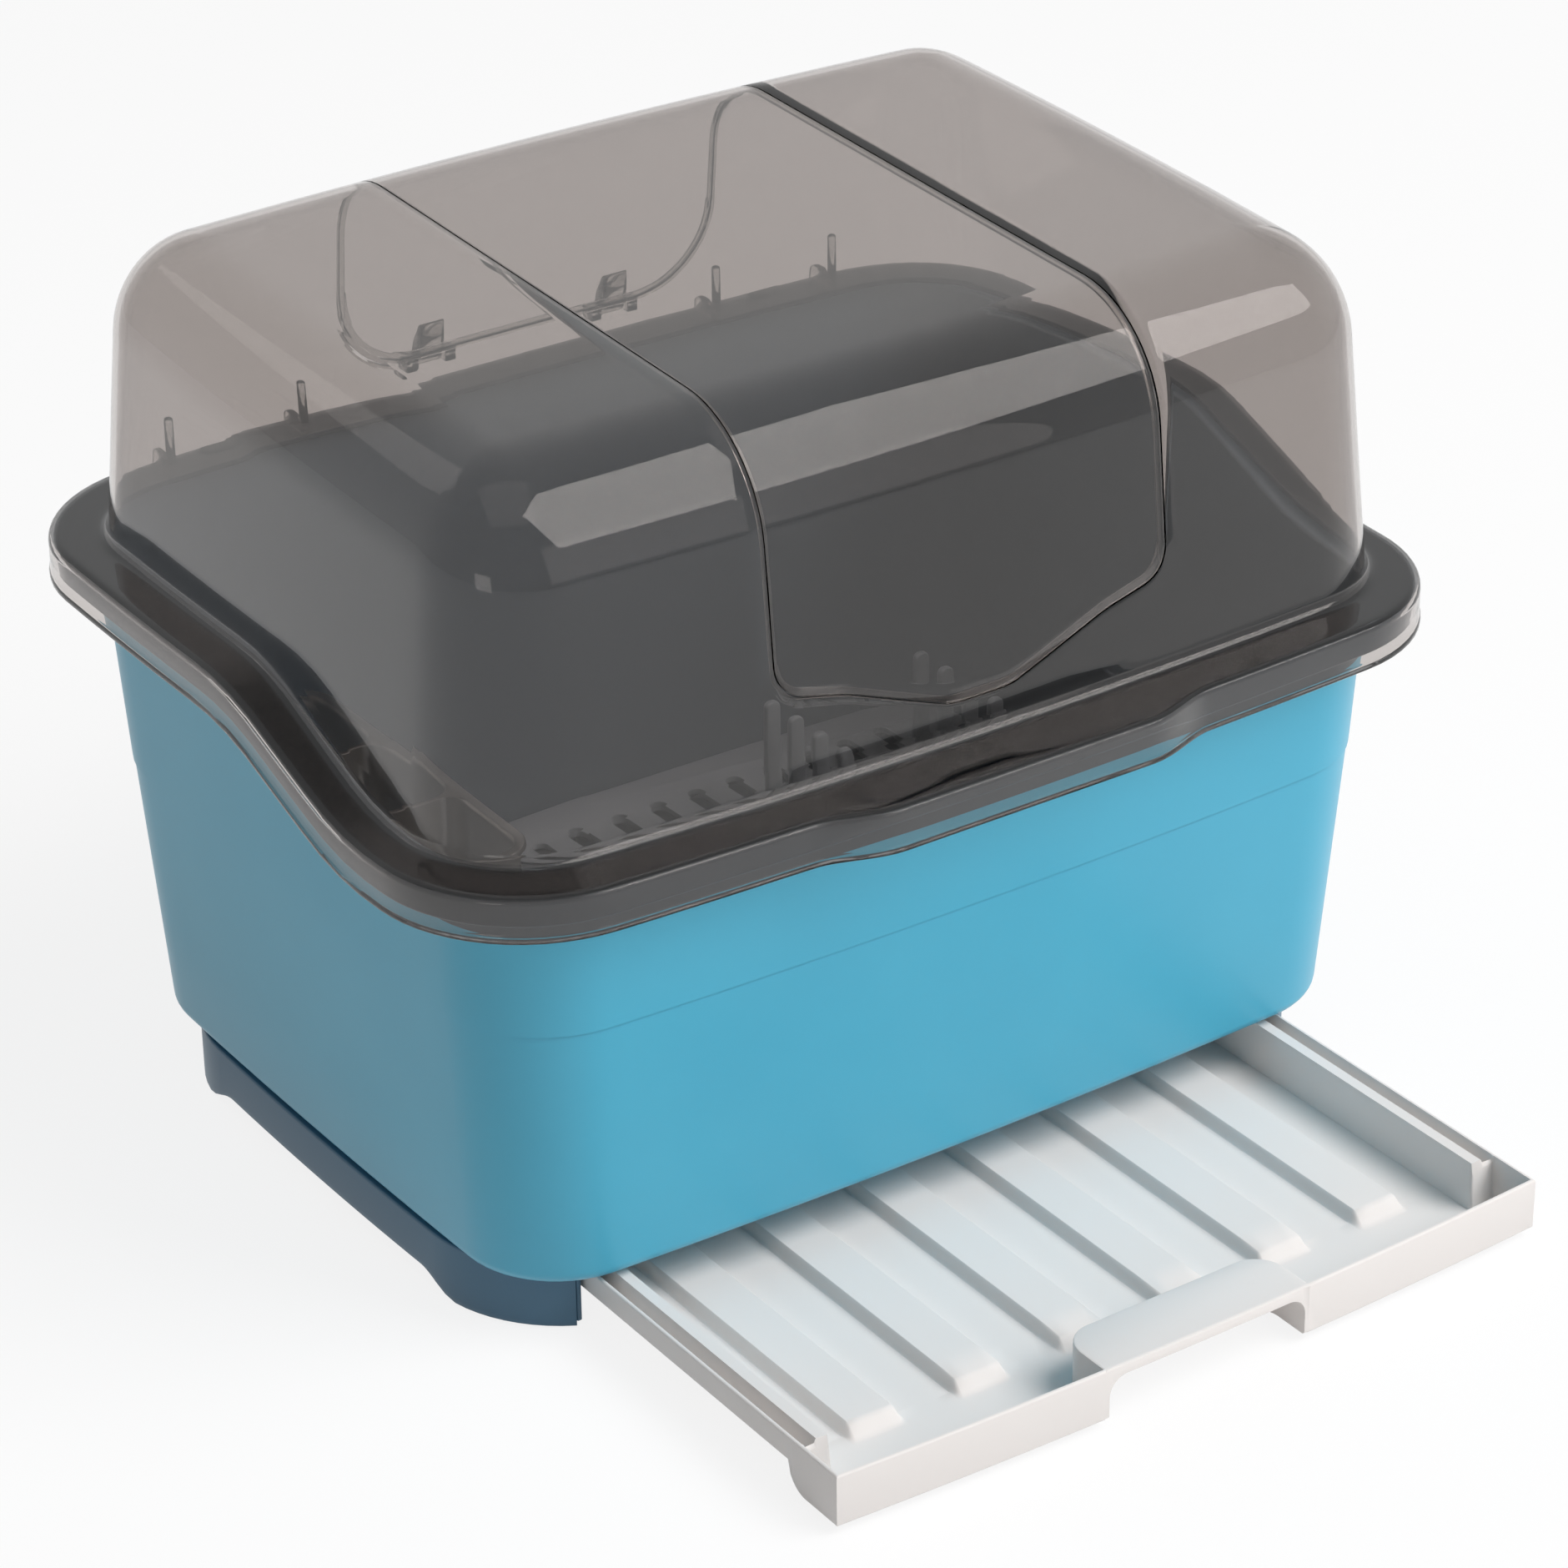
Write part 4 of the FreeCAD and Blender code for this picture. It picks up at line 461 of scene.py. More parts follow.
def rounded_polygon(corners: list[tuple[float, float, float]], steps: int = 8) -> Grid:
    """Closed line through corners given as (x, y, radius), with an arc at each, counter-clockwise."""
    points = np.array([c[:2] for c in corners], float)
    pieces = []
    for index, (_, _, radius) in enumerate(corners):
        here = points[index]
        back = points[index - 1] - here
        ahead = points[(index + 1) % len(corners)] - here
        back, ahead = back / np.linalg.norm(back), ahead / np.linalg.norm(ahead)
        if radius <= 0:
            pieces.append(here[None])
            continue
        half = math.acos(float(np.clip(back @ ahead, -1, 1))) / 2
        middle = (back + ahead) / np.linalg.norm(back + ahead)
        centre = here + middle * radius / math.sin(half)
        first = here + back * radius / math.tan(half) - centre
        last = here + ahead * radius / math.tan(half) - centre
        t = np.linspace(0, 1, steps + 1)[:, None]
        whole = math.pi - 2 * half
        arc = (np.sin((1 - t) * whole) * first + np.sin(t * whole) * last) / math.sin(whole)
        pieces.append(centre + arc)
    return np.concatenate(pieces)


def slot_line(middle: tuple[float, float], half: float, long: float, radius: float, steps: int) -> Grid:
    """Outline of a slot with round ends, of a half width and a half length about its middle."""
    x, y = middle
    corners = [(x + sx * half, y + sy * long, radius) for sx, sy in ((-1, -1), (1, -1), (1, 1), (-1, 1))]
    return rounded_polygon(corners, steps)


def slab(
    line: Grid, low: float, high: float, plane: str = "xy", edge: float = 0.6, steps: int = 3
) -> Grid:
    """Closed line carried along its plane's normal, drawn in a little at both ends.

    Args:
        line: counter-clockwise points (a, b) of the plane.
        low: start along the normal.
        high: end along the normal.
        plane: "xy" (normal z), "yz" (normal x) or "xz" (normal -y).
        edge: rounding of the two rims.
        steps: rows across a rounding.

    Returns:
        Rows of points to be wrapped and capped.
    """
    tangent = np.roll(line, -1, 0) - np.roll(line, 1, 0)
    tangent /= np.maximum(np.linalg.norm(tangent, axis=1, keepdims=True), 1e-9)
    normal = np.stack((tangent[:, 1], -tangent[:, 0]), 1)
    angles = np.linspace(0, QUARTER, steps)
    inset = np.concatenate((edge * (1 - np.sin(angles)), edge * (1 - np.cos(angles))))
    place = np.concatenate((low + edge * (1 - np.cos(angles)), high - edge * (1 - np.sin(angles))))
    flat = line[None] - normal[None] * inset[:, None, None]
    a, b, n = flat[..., 0], flat[..., 1], place[:, None]
    if plane == "yz":
        return stack(n, a, b)
    if plane == "xz":
        return stack(a, -n, b)
    return stack(a, b, n)


def slot_tools(
    places: range, step: tuple[float, float], half: float, long: float, steps: int, low: float,
    tall: float = 9.0,
) -> Piece:
    """Piece that carves three rows of slots.

    Args:
        places: whole numbers across, which the step is multiplied by.
        step: distance between slots across and from row to row.
        half: half width of a slot.
        long: half length of a slot.
        steps: pieces of each corner's arc.
        low: height of the tool's underside.
        tall: the tool's height.

    Returns:
        The tool.
    """
    slots = Sheaf()
    for ix in places:
        for iy in (-1, 0, 1):
            line = slot_line((ix * step[0], iy * step[1]), half, long, half - 0.1, steps)
            slots.solid(slab(line, low, low + tall, edge=0.01))
    return slots.build("slot_tool")


def add_node(
    tree: Tree, kind: str, links: dict[str | int, object] | None = None, **settings: object
) -> bpy.types.Node:
    """Add one shader node.

    Args:
        tree: the material's node tree.
        kind: the node's type name.
        links: input name or index, to the output socket or the value that it takes.
        settings: the node's own properties.

    Returns:
        The new node.
    """
    node = tree.nodes.new(kind)
    for name, value in settings.items():
        setattr(node, name, value)
    for key, value in (links or {}).items():
        socket = node.inputs[key]
        if isinstance(value, Socket):
            tree.links.new(value, socket)
        else:
            socket.default_value = value
    return node


def start_material(name: str) -> tuple[Finish, Tree, Socket]:
    """New material with an empty tree, its tree and the object coordinates' socket."""
    material = bpy.data.materials.new(name)
    material.use_nodes = True
    tree = material.node_tree
    tree.nodes.clear()
    where = add_node(tree, "ShaderNodeTexCoord").outputs["Object"]
    return material, tree, where


def noise(tree: Tree, where: Socket, size: float, detail: float) -> Socket:
    """Cloudy pattern from 0 to 1 whose clouds are some millimetres wide."""
    links = {"Vector": where, "Scale": 1 / (size * MM), "Detail": detail}
    return add_node(tree, "ShaderNodeTexNoise", links).outputs["Fac"]


def blend(tree: Tree, share: Socket, first: object, second: object) -> Socket:
    """Mix of two colours, each a socket or four numbers."""
    links = {"Factor": share, "A": first, "B": second}
    return add_node(tree, "ShaderNodeMix", links, data_type="RGBA").outputs["Result"]


def spread(tree: Tree, value: Socket, low: float, high: float) -> Socket:
    """Pattern from 0 to 1 stretched between two values."""
    links = {"Value": value, "To Min": low, "To Max": high}
    return add_node(tree, "ShaderNodeMapRange", links).outputs["Result"]


def bumped(tree: Tree, height: Socket, strength: float, depth: float) -> Socket:
    """Normal that follows a pattern, whose depth is in millimetres."""
    links = {"Height": height, "Strength": strength, "Distance": depth * MM}
    return add_node(tree, "ShaderNodeBump", links).outputs["Normal"]


def compute(tree: Tree, operation: str, first: object, second: object) -> Socket:
    """Result of one step of arithmetic."""
    return add_node(tree, "ShaderNodeMath", {0: first, 1: second}, operation=operation).outputs[0]


def close_tree(tree: Tree, shader: Socket) -> None:
    """Lead a shader to the material's output."""
    add_node(tree, "ShaderNodeOutputMaterial", {"Surface": shader})


@dataclass(frozen=True)
class MouldedPlastic:
    """Injection-moulded polypropylene: even colour, satin gloss, fine spark texture, faint flow marks."""

    name: str
    colour: str
    shade: str
    roughness: float = 0.34
    cloud_mm: float = 60.0
    spark_mm: float = 0.9
    relief: float = 0.02
    ior: float = 1.49

    def make(self) -> Finish:
        """Build the material: cloudy colour a few centimetres wide, sparked grain in the bump."""
        material, tree, where = start_material(self.name)
        cloud = noise(tree, where, self.cloud_mm, 3.0)
        grain = noise(tree, where, self.spark_mm, 2.0)
        links = {
            "Base Color": blend(tree, cloud, linear(self.colour), linear(self.shade)),
            "Roughness": spread(tree, cloud, self.roughness - 0.01, self.roughness + 0.02),
            "Normal": bumped(tree, grain, 0.25, self.relief),
            "IOR": self.ior,
        }
        close_tree(tree, add_node(tree, "ShaderNodeBsdfPrincipled", links).outputs[0])
        return material


@dataclass(frozen=True)
class ClearPlastic:
    """Clear styrene, smoke-tinted in the mass: polished moulding that lets light and sight through."""

    name: str
    colour: str
    light: str
    roughness: float = 0.0
    wave_mm: float = 45.0
    wave_depth: float = 0.15
    ior: float = 1.5

    def make(self) -> Finish:
        """Build the material: tinted transmission, faint waves of the moulding, and light that passes."""
        material, tree, where = start_material(self.name)
        wave = noise(tree, where, self.wave_mm, 1.0)
        links = {
            "Base Color": linear(self.colour),
            "Roughness": self.roughness,
            "IOR": self.ior,
            "Transmission Weight": 1.0,
            "Normal": bumped(tree, wave, 0.3, self.wave_depth),
        }
        glass = add_node(tree, "ShaderNodeBsdfPrincipled", links)
        clear = add_node(tree, "ShaderNodeBsdfTransparent", {"Color": linear(self.light)})
        shadow = add_node(tree, "ShaderNodeLightPath").outputs["Is Shadow Ray"]
        sockets = {0: shadow, 1: glass.outputs[0], 2: clear.outputs[0]}
        both = add_node(tree, "ShaderNodeMixShader", sockets)
        close_tree(tree, both.outputs[0])
        return material


@dataclass(frozen=True)
class FootRubber:
    """Pressed rubber of the foot pads: matt, a little dusty, with a fine grain."""

    name: str = "foot_rubber"
    colour: str = "3a3d40"
    dust: str = "55585b"
    grain_mm: float = 1.2

    def make(self) -> Finish:
        """Build the material: grain in the bump, dust in the colour."""
        material, tree, where = start_material(self.name)
        grain = noise(tree, where, self.grain_mm, 4.0)
        links = {
            "Base Color": blend(tree, grain, linear(self.colour), linear(self.dust)),
            "Roughness": 0.8,
            "Normal": bumped(tree, grain, 0.4, 0.1),
        }
        close_tree(tree, add_node(tree, "ShaderNodeBsdfPrincipled", links).outputs[0])
        return material


@dataclass(frozen=True)
class ZincSteel:
    """Zinc-plated steel of screws and pins: bright, with fine turning marks."""

    name: str = "zinc_steel"
    colour: str = "b9bcc0"
    shade: str = "a3a7ac"
    mark_mm: float = 0.8

    def make(self) -> Finish:
        """Build the material: streaks in roughness and colour."""
        material, tree, where = start_material(self.name)
        marks = noise(tree, where, self.mark_mm, 3.0)
        links = {
            "Base Color": blend(tree, marks, linear(self.colour), linear(self.shade)),
            "Roughness": spread(tree, marks, 0.22, 0.42),
            "Metallic": 1.0,
        }
        close_tree(tree, add_node(tree, "ShaderNodeBsdfPrincipled", links).outputs[0])
        return material


def second_finish(thing: Piece, material: Finish, chosen: Grid) -> None:
    """Give the chosen faces of a dressed piece another finish.

    Args:
        thing: the piece, which has its first material.
        material: the other finish.
        chosen: one truth value for each face.
    """
    thing.data.materials.append(material)
    thing.data.polygons.foreach_set("material_index", np.where(chosen, 1, 0).astype(np.int32))


def face_data(thing: Piece) -> tuple[Grid, Grid]:
    """Middles of a piece's faces, in millimetres from the tub's middle, and their normals."""
    faces = thing.data.polygons
    middles, normals = np.empty(len(faces) * 3), np.empty(len(faces) * 3)
    faces.foreach_get("center", middles)
    faces.foreach_get("normal", normals)
    return middles.reshape(-1, 3) / MM - (0, FRAME_SHIFT_Y, 0), normals.reshape(-1, 3)


def finish_piece(thing: Piece, material: Finish, body: str, slot: str, *nodes: str) -> None:
    """Dress a piece and tie it to the frame.

    Args:
        thing: the piece.
        material: its finish.
        body: CAD body that it rides on.
        slot: the record's material slot. Not used.
        nodes: CAD nodes that it stands for.
    """
    thing.data.materials.clear()
    thing.data.materials.append(material)
    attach(thing, body)
    if nodes:
        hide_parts(*nodes)
    LOG.info("%s: %d faces", thing.name, len(thing.data.polygons))


@dataclass
class TubShape:
    """Drafted tub whose walls lean out from foot to rim."""

    half_x: float = 205.2
    half_y: float = 155.5
    corner: float = 43.3
    bottom: float = 28.0
    draft_x: float = 0.066
    draft_y: float = 0.071
    corner_growth: float = 0.0256
    top: float = 262.0
    wall: float = 2.6
    floor: float = 3.0
    edge: float = 6.0
    rim: float = 213.8
    rim_half_x: float = 236.5
    rim_half_y: float = 183.3
    rim_corner: float = 62.3
    flange: float = 2.5
    lip: float = 11.0
    mark: float = 144.0
    mark_step: float = 0.6
    fillet: float = 3.0
    round_top: float = 2.4
    # Depth under the rim of the band painted dark grey, as painted shade behind the lid's skirt
    painted_shade_band: float = 26.0
    slot_half: float = 3.0
    slot_long: float = 32.0
    slot_step: tuple[float, float] = (24.0, 84.0)

    def ring(self, columns: Columns, z: Grid, inset: Grid = 0.0) -> Ring:
        """Wall outline at a height: each half size grows with the draft, less the inset."""
        climb = z - self.bottom
        share = np.clip(climb / (self.top - self.bottom), 0, 1)
        return outline(
            columns,
            self.half_x + self.draft_x * climb - inset,
            self.half_y + self.draft_y * climb - inset,
            self.corner + self.corner_growth * climb - inset,
            LOW_BOW_X + (BOW_X - LOW_BOW_X) * share,
            LOW_BOW_Y + (BOW_Y - LOW_BOW_Y) * share,
        )[:2]

    def wall_top(self, columns: Columns, below: float, inset: float = 0.0) -> Grid:
        """Height at which each column meets the rim's surface, found by repeated substitution."""
        z = np.full(columns.count, self.rim)
        for _ in range(6):
            z = self.rim + rim_rise(self.ring(columns, z, inset)[1]) - below
        return z

    def rim_ring(self, columns: Columns, inset: float) -> Ring:
        """Outline of the rim's edge, moved in by the inset."""
        half_x, half_y = self.rim_half_x - inset, self.rim_half_y - inset
        return outline(columns, half_x, half_y, self.rim_corner - inset)[:2]

    def outside(self, columns: Columns) -> list[Grid]:
        """Rows from the floor's underside round the edge and up the wall to under the flange."""
        rows: list[Grid] = []
        for a in np.linspace(0, QUARTER, 7):
            z = self.bottom + self.edge * (1 - math.cos(a))
            rows.append(stack(*self.ring(columns, z, self.edge * (1 - math.sin(a))), z))
        z = self.bottom + self.edge + 40
        rows.append(stack(*self.ring(columns, z), z))
        # The wall steps out by a hair above the mark, which shows as a faint moulded line
        fillet, step = self.fillet, self.mark_step
        for rise, inset in ((-1.0, 0.0), (-0.2, 0.0), (0, -step), (4, -step)):
            z = self.mark + rise
            rows.append(stack(*self.ring(columns, z, inset), z))
        under = self.wall_top(columns, self.flange + fillet)
        # The wall is painted dark grey from this height up, as painted shade behind the lid's skirt
        grey = self.rim - self.painted_shade_band + rim_rise(self.ring(columns, under)[1])
        for t in np.linspace(0, 1, 8)[1:]:
            z = self.mark + 4 + (grey - self.mark - 4) * t
            rows.append(stack(*self.ring(columns, z, -step * (1 - t)), z))
        for a in np.linspace(0, QUARTER, 5):
            x, y = self.ring(columns, under, -fillet * (1 - math.cos(a)))
            z = self.rim + rim_rise(y) - self.flange - fillet * (1 - math.sin(a)) if a else under
            rows.append(stack(x, y, z))
        return rows

    def edge_line(self) -> list[tuple[float, float]]:
        """Side view of the rim's lip as (inset, height), from under the flange round to its top."""
        half, low, turn = self.wall / 2, self.rim - self.lip, self.round_top
        under = self.rim - self.flange
        line = [(self.wall + 0.6, under - 0.6), (self.wall, under - 2.0)]
        for a in np.linspace(0, math.pi, 7):
            line.append((half + half * math.cos(a), low + half - half * math.sin(a)))
        for a in np.linspace(0, QUARTER, 6):
            line.append((turn * (1 - math.cos(a)), self.rim - turn + turn * math.sin(a)))
        return line

    def inside(self, columns: Columns, outer: Ring) -> list[Grid]:
        """Rows from the rim's outer edge over its top, down the wall's inside and to the floor."""
        rows: list[Grid] = []
        drawn, soft = 0.8, 1.8
        inner_z = self.wall_top(columns, 0.0, drawn)
        for x, y in between(outer, self.ring(columns, inner_z, drawn), 5):
            rows.append(stack(x, y, self.rim + rim_rise(y)))
        for a in np.linspace(0, QUARTER, 4)[1:]:
            x, y = self.ring(columns, inner_z, drawn + soft * math.sin(a))
            rows.append(stack(x, y, self.rim + rim_rise(y) - soft * (1 - math.cos(a))))
        turn = self.edge - self.wall
        floor = self.bottom + self.floor
        for t in np.linspace(1, 0, 9)[1:]:
            z = floor + turn + (inner_z - 6 - floor - turn) * t
            rows.append(stack(*self.ring(columns, z, self.wall), z))
        for a in np.linspace(QUARTER, 0, 5)[1:]:
            z = floor + turn * (1 - math.cos(a))
            rows.append(stack(*self.ring(columns, z, self.wall + turn * (1 - math.sin(a))), z))
        return rows

    def build(self) -> Piece:
        """One closed profile round the wall and the rim, then the floor's slots and the screw towers."""
        columns = PLAIN
        rows = self.outside(columns)
        lip_top = self.rim_ring(columns, self.wall + 2.0)
        for x, y in between(rows[-1].T[:2], lip_top, 4):
            rows.append(stack(x, y, self.rim + rim_rise(y) - self.flange))
        for inset, z in self.edge_line():
            x, y = self.rim_ring(columns, inset)
            rows.append(stack(x, y, z + rim_rise(y)))
        rows += self.inside(columns, rows[-1].T[:2])
        tub = solid_piece("tub_shell", np.stack(rows))
        low = self.bottom - 3
        carve(tub, slot_tools(range(-6, 7), self.slot_step, self.slot_half, self.slot_long, 4, low))
        towers = Sheaf()
        for x in (-BOSS_X, BOSS_X):
            for y in (-BOSS_Y, BOSS_Y):
                tower = [(0.0, 29.5), (5.4, 29.5), (5.2, 31.6), (5.0, 39.2), (4.4, 40), (0.0, 40)]
                towers.revolve(tower, (x, y, 0))
        return carve(tub, towers.build("tower_tool"), "UNION")

    def painted_shade_faces(self, tub: Piece) -> Grid:
        """Faces given a dark grey as painted shade: the inside, shaded under the lid, and a band behind the
        lid's skirt that makes the skirt look dark.

        Args:
            tub: the finished tub.

        Returns:
            One truth value for each face.
        """
        middles, normals = face_data(tub)
        x, y, z = middles.T
        band = z > self.rim - self.painted_shade_band + rim_rise(y)
        inward = -(x / self.half_x * normals[:, 0] + y / self.half_y * normals[:, 1])
        inside = (z > self.bottom + 1) & ((normals[:, 2] > 0.3) | (inward > 0.2))
        return band | inside


@dataclass
class PlinthShape:
    """Dark plinth: skirt on four feet, open at the front, with webs and rails for the tray."""

    half_x: float = 205.2
    half_y: float = 148.5
    corner: float = 62.0
    top: float = 28.0
    clear: float = 1.0
    wall: float = 3.0
    mouth: float = 169.6
    arch: float = 8.0
    deck: float = 2.5
    room_half: float = 170.6
    room_rear: float = 139.4
    rail_front: float = -119.9
    edge: float = 1.0

    def ring(self, columns: Columns, inset: Grid) -> Ring:
        """Outline of the skirt, moved in by the inset."""
        half_x, half_y = self.half_x - inset, self.half_y - inset
        return outline(columns, half_x, half_y, self.corner - inset, LOW_BOW_X, LOW_BOW_Y)[:2]

    def low_edge(self, x: Grid, y: Grid) -> Grid:
        """Lower edge: raised between the feet by a smooth step over 24 mm at the sides and the rear."""
        side = ease((98 - np.abs(y)) / 24)
        rear = ease((142 - np.abs(x)) / 24) * (y > 0)
        return self.clear + (self.arch - self.clear) * np.maximum(side, rear)

    def build(self) -> Piece:
        """Skirt with its deck, a closed strip from the mouth's one end round the rear to its other."""
        fine = around(np.linspace(0, FIXED_MAX, 40), reach=6, corner=16, side=60)
        index = np.arange(fine.count)
        x, y = self.ring(fine, 0)
        keep = index[(np.abs(x) > self.mouth + 0.2) | (y > 0)]
        start = int(np.flatnonzero(np.diff(keep) > 1)[0]) + 1 if np.any(np.diff(keep) > 1) else 0
        keep = np.roll(keep, -start)
        strip = fine.pick(keep)
        rows = []
        edge = self.edge
        outer, inner = self.ring(strip, 0), self.ring(strip, self.wall)
        low = self.low_edge(*outer)
        for a in np.linspace(0, math.pi, 7):
            inset = self.wall / 2 + self.wall / 2 * math.cos(a)
            drop = self.wall / 2 * (1 - math.sin(a)) * 0.6
            rows.append(stack(*self.ring(strip, inset), low + drop))
        rows.append(stack(*outer, low + 3))
        for a in np.linspace(0, QUARTER, 4):
            inset = edge * (1 - math.cos(a))
            rows.append(stack(*self.ring(strip, inset), self.top - edge + edge * math.sin(a)))
        # The deck reaches in as far as the tray's room, which is a plain rectangle
        deck_x = np.clip(inner[0], -self.room_half, self.room_half)
        deck_y = np.minimum(inner[1] - 0.3 * (inner[1] > 0), self.room_rear)
        rows.append(stack(deck_x, deck_y, self.top))
        rows.append(stack(deck_x, deck_y, self.top - self.deck))
        rows.append(stack(*inner, self.top - self.deck))
        rows.append(rows[0])
        skirt = np.stack(rows)
        body = Sheaf()
        body.grid(skirt)
        for column, flip in ((0, True), (-1, False)):
            profile = skirt[:-1, column]
            body.points.append(profile)
            face = list(range(body.count, body.count + len(profile)))
            body.faces.append(face if flip else face[::-1])
            body.count += len(profile)
        return body.build("plinth_skirt")

    def fittings(self) -> Piece:
        """Webs, rails, tray stops and screw bosses under the deck."""
        body = Sheaf()
        for side in (-1, 1):
            # From and to along each axis: guide web, rail, tray stop
            for x0, x1, y0, y1, z0, z1 in (
                (169.6, 171.8, -136.8, 134.0, 3.0, 27.6),
                (157.6, 170.8, self.rail_front, 139.2, 12.7, 15.2),
                (168.0, 170.8, -20.3, -16.3, 18.0, 25.0),
            ):
                a, b = sorted((side * x0, side * x1))
                body.solid(round_block(a, b, y0, y1, z0, z1, 0.6))
            for y in (-BOSS_Y, BOSS_Y):
                profile = [(2.3, 27.4), (2.3, 20.0), (7.0, 20.0), (7.0, 3.0), (7.4, 2.6)]
                profile += [(9.6, 2.6), (10.0, 3.0), (10.0, 27.4), (2.3, 27.4)]
                body.revolve(profile, (side * BOSS_X, y, 0), steps=40)
        body.solid(round_block(-160.0, 160.0, 139.1, 141.3, 3, 27.6, 0.6))
        return body.build("plinth_fittings")


@dataclass(frozen=True)
class FastenerShape:
    """Foot pads, cross-recessed tapping screws and hinge pins."""

    pad_radius: float = 9.6
    pad_thick: float = 2.6
    head: float = 4.0
    shank: float = 1.9
    thread: float = 1.27
    head_low: float = 17.4
    head_top: float = 20.0
    tip: float = 35.0
    pin: float = 1.5
    pin_long: float = 23.0

    def pad(self, name: str, at: tuple[float, float]) -> Piece:
        """Rubber pad with a grooved sole and the stem that plugs into the boss."""
        sole = [(0.0, 0.4), (2.6, 0.4), (3.0, 0.0), (5.2, 0.0)]
        sole += [(5.6, 0.5), (6.2, 0.5), (6.6, 0.0), (8.9, 0.0)]
        side = [(self.pad_radius, 0.7), (self.pad_radius, self.pad_thick - 0.3), (9.3, self.pad_thick)]
        stem = [(6.7, self.pad_thick), (6.7, 7.4), (6.0, 8.1), (0.0, 8.1)]
        body = Sheaf()
        body.revolve(sole + side + stem, (*at, 0), steps=48)
        return body.build(name)

    def screw(self, name: str, at: tuple[float, float]) -> Piece:
        """Pan-head screw: its thread is a ridge whose height follows turn plus place over the pitch."""
        low, top, tip = self.head_low, self.head_top, self.tip
        angles = np.linspace(0, QUARTER, 6)
        head = [(self.head * math.sin(a), low + 1.6 * (1 - math.cos(a))) for a in angles]
        body = Sheaf()
        body.revolve(head + [(self.head, top), (0.0, top)], (*at, 0), steps=36)
        screw = body.build(name)
        place = np.linspace(top - 0.4, tip, 150)[:, None]
        turn = np.linspace(0, 2 * math.pi, 24, endpoint=False)[None]
        ridge = np.abs((place / self.thread - turn / (2 * math.pi)) % 1 - 0.5) * 2
        core = self.shank - 0.5 + 0.5 * np.clip(1.6 - 2.6 * ridge, 0, 1)
        radius = core * np.clip((tip - place) / 3.5 + 0.12, 0, 1)
        radius[[0, -1]] = 0.0
        shank = Sheaf()
        shank.grid(stack(radius * np.cos(turn) + at[0], radius * np.sin(turn) + at[1], place), wrap=True)
        for wide, long in ((0.5, 2.4), (2.4, 0.5)):
            arm = round_block(-wide, wide, -long, long, low - 1, low + 1.5, 0.15)
            carve(screw, solid_piece("recess_tool", arm + (*at, 0)))
        return carve(screw, shank.build("shank_tool"), "UNION")

    def hinge_pin(self, name: str, x: float, y: float, z: float) -> Piece:
        """Steel pin with rounded ends."""
        body = Sheaf()
        profile = barrel(self.pin, -self.pin_long / 2, self.pin_long / 2, 0.4)
        body.revolve(profile, (x, y, z), "x", 28)
        return body.build(name)


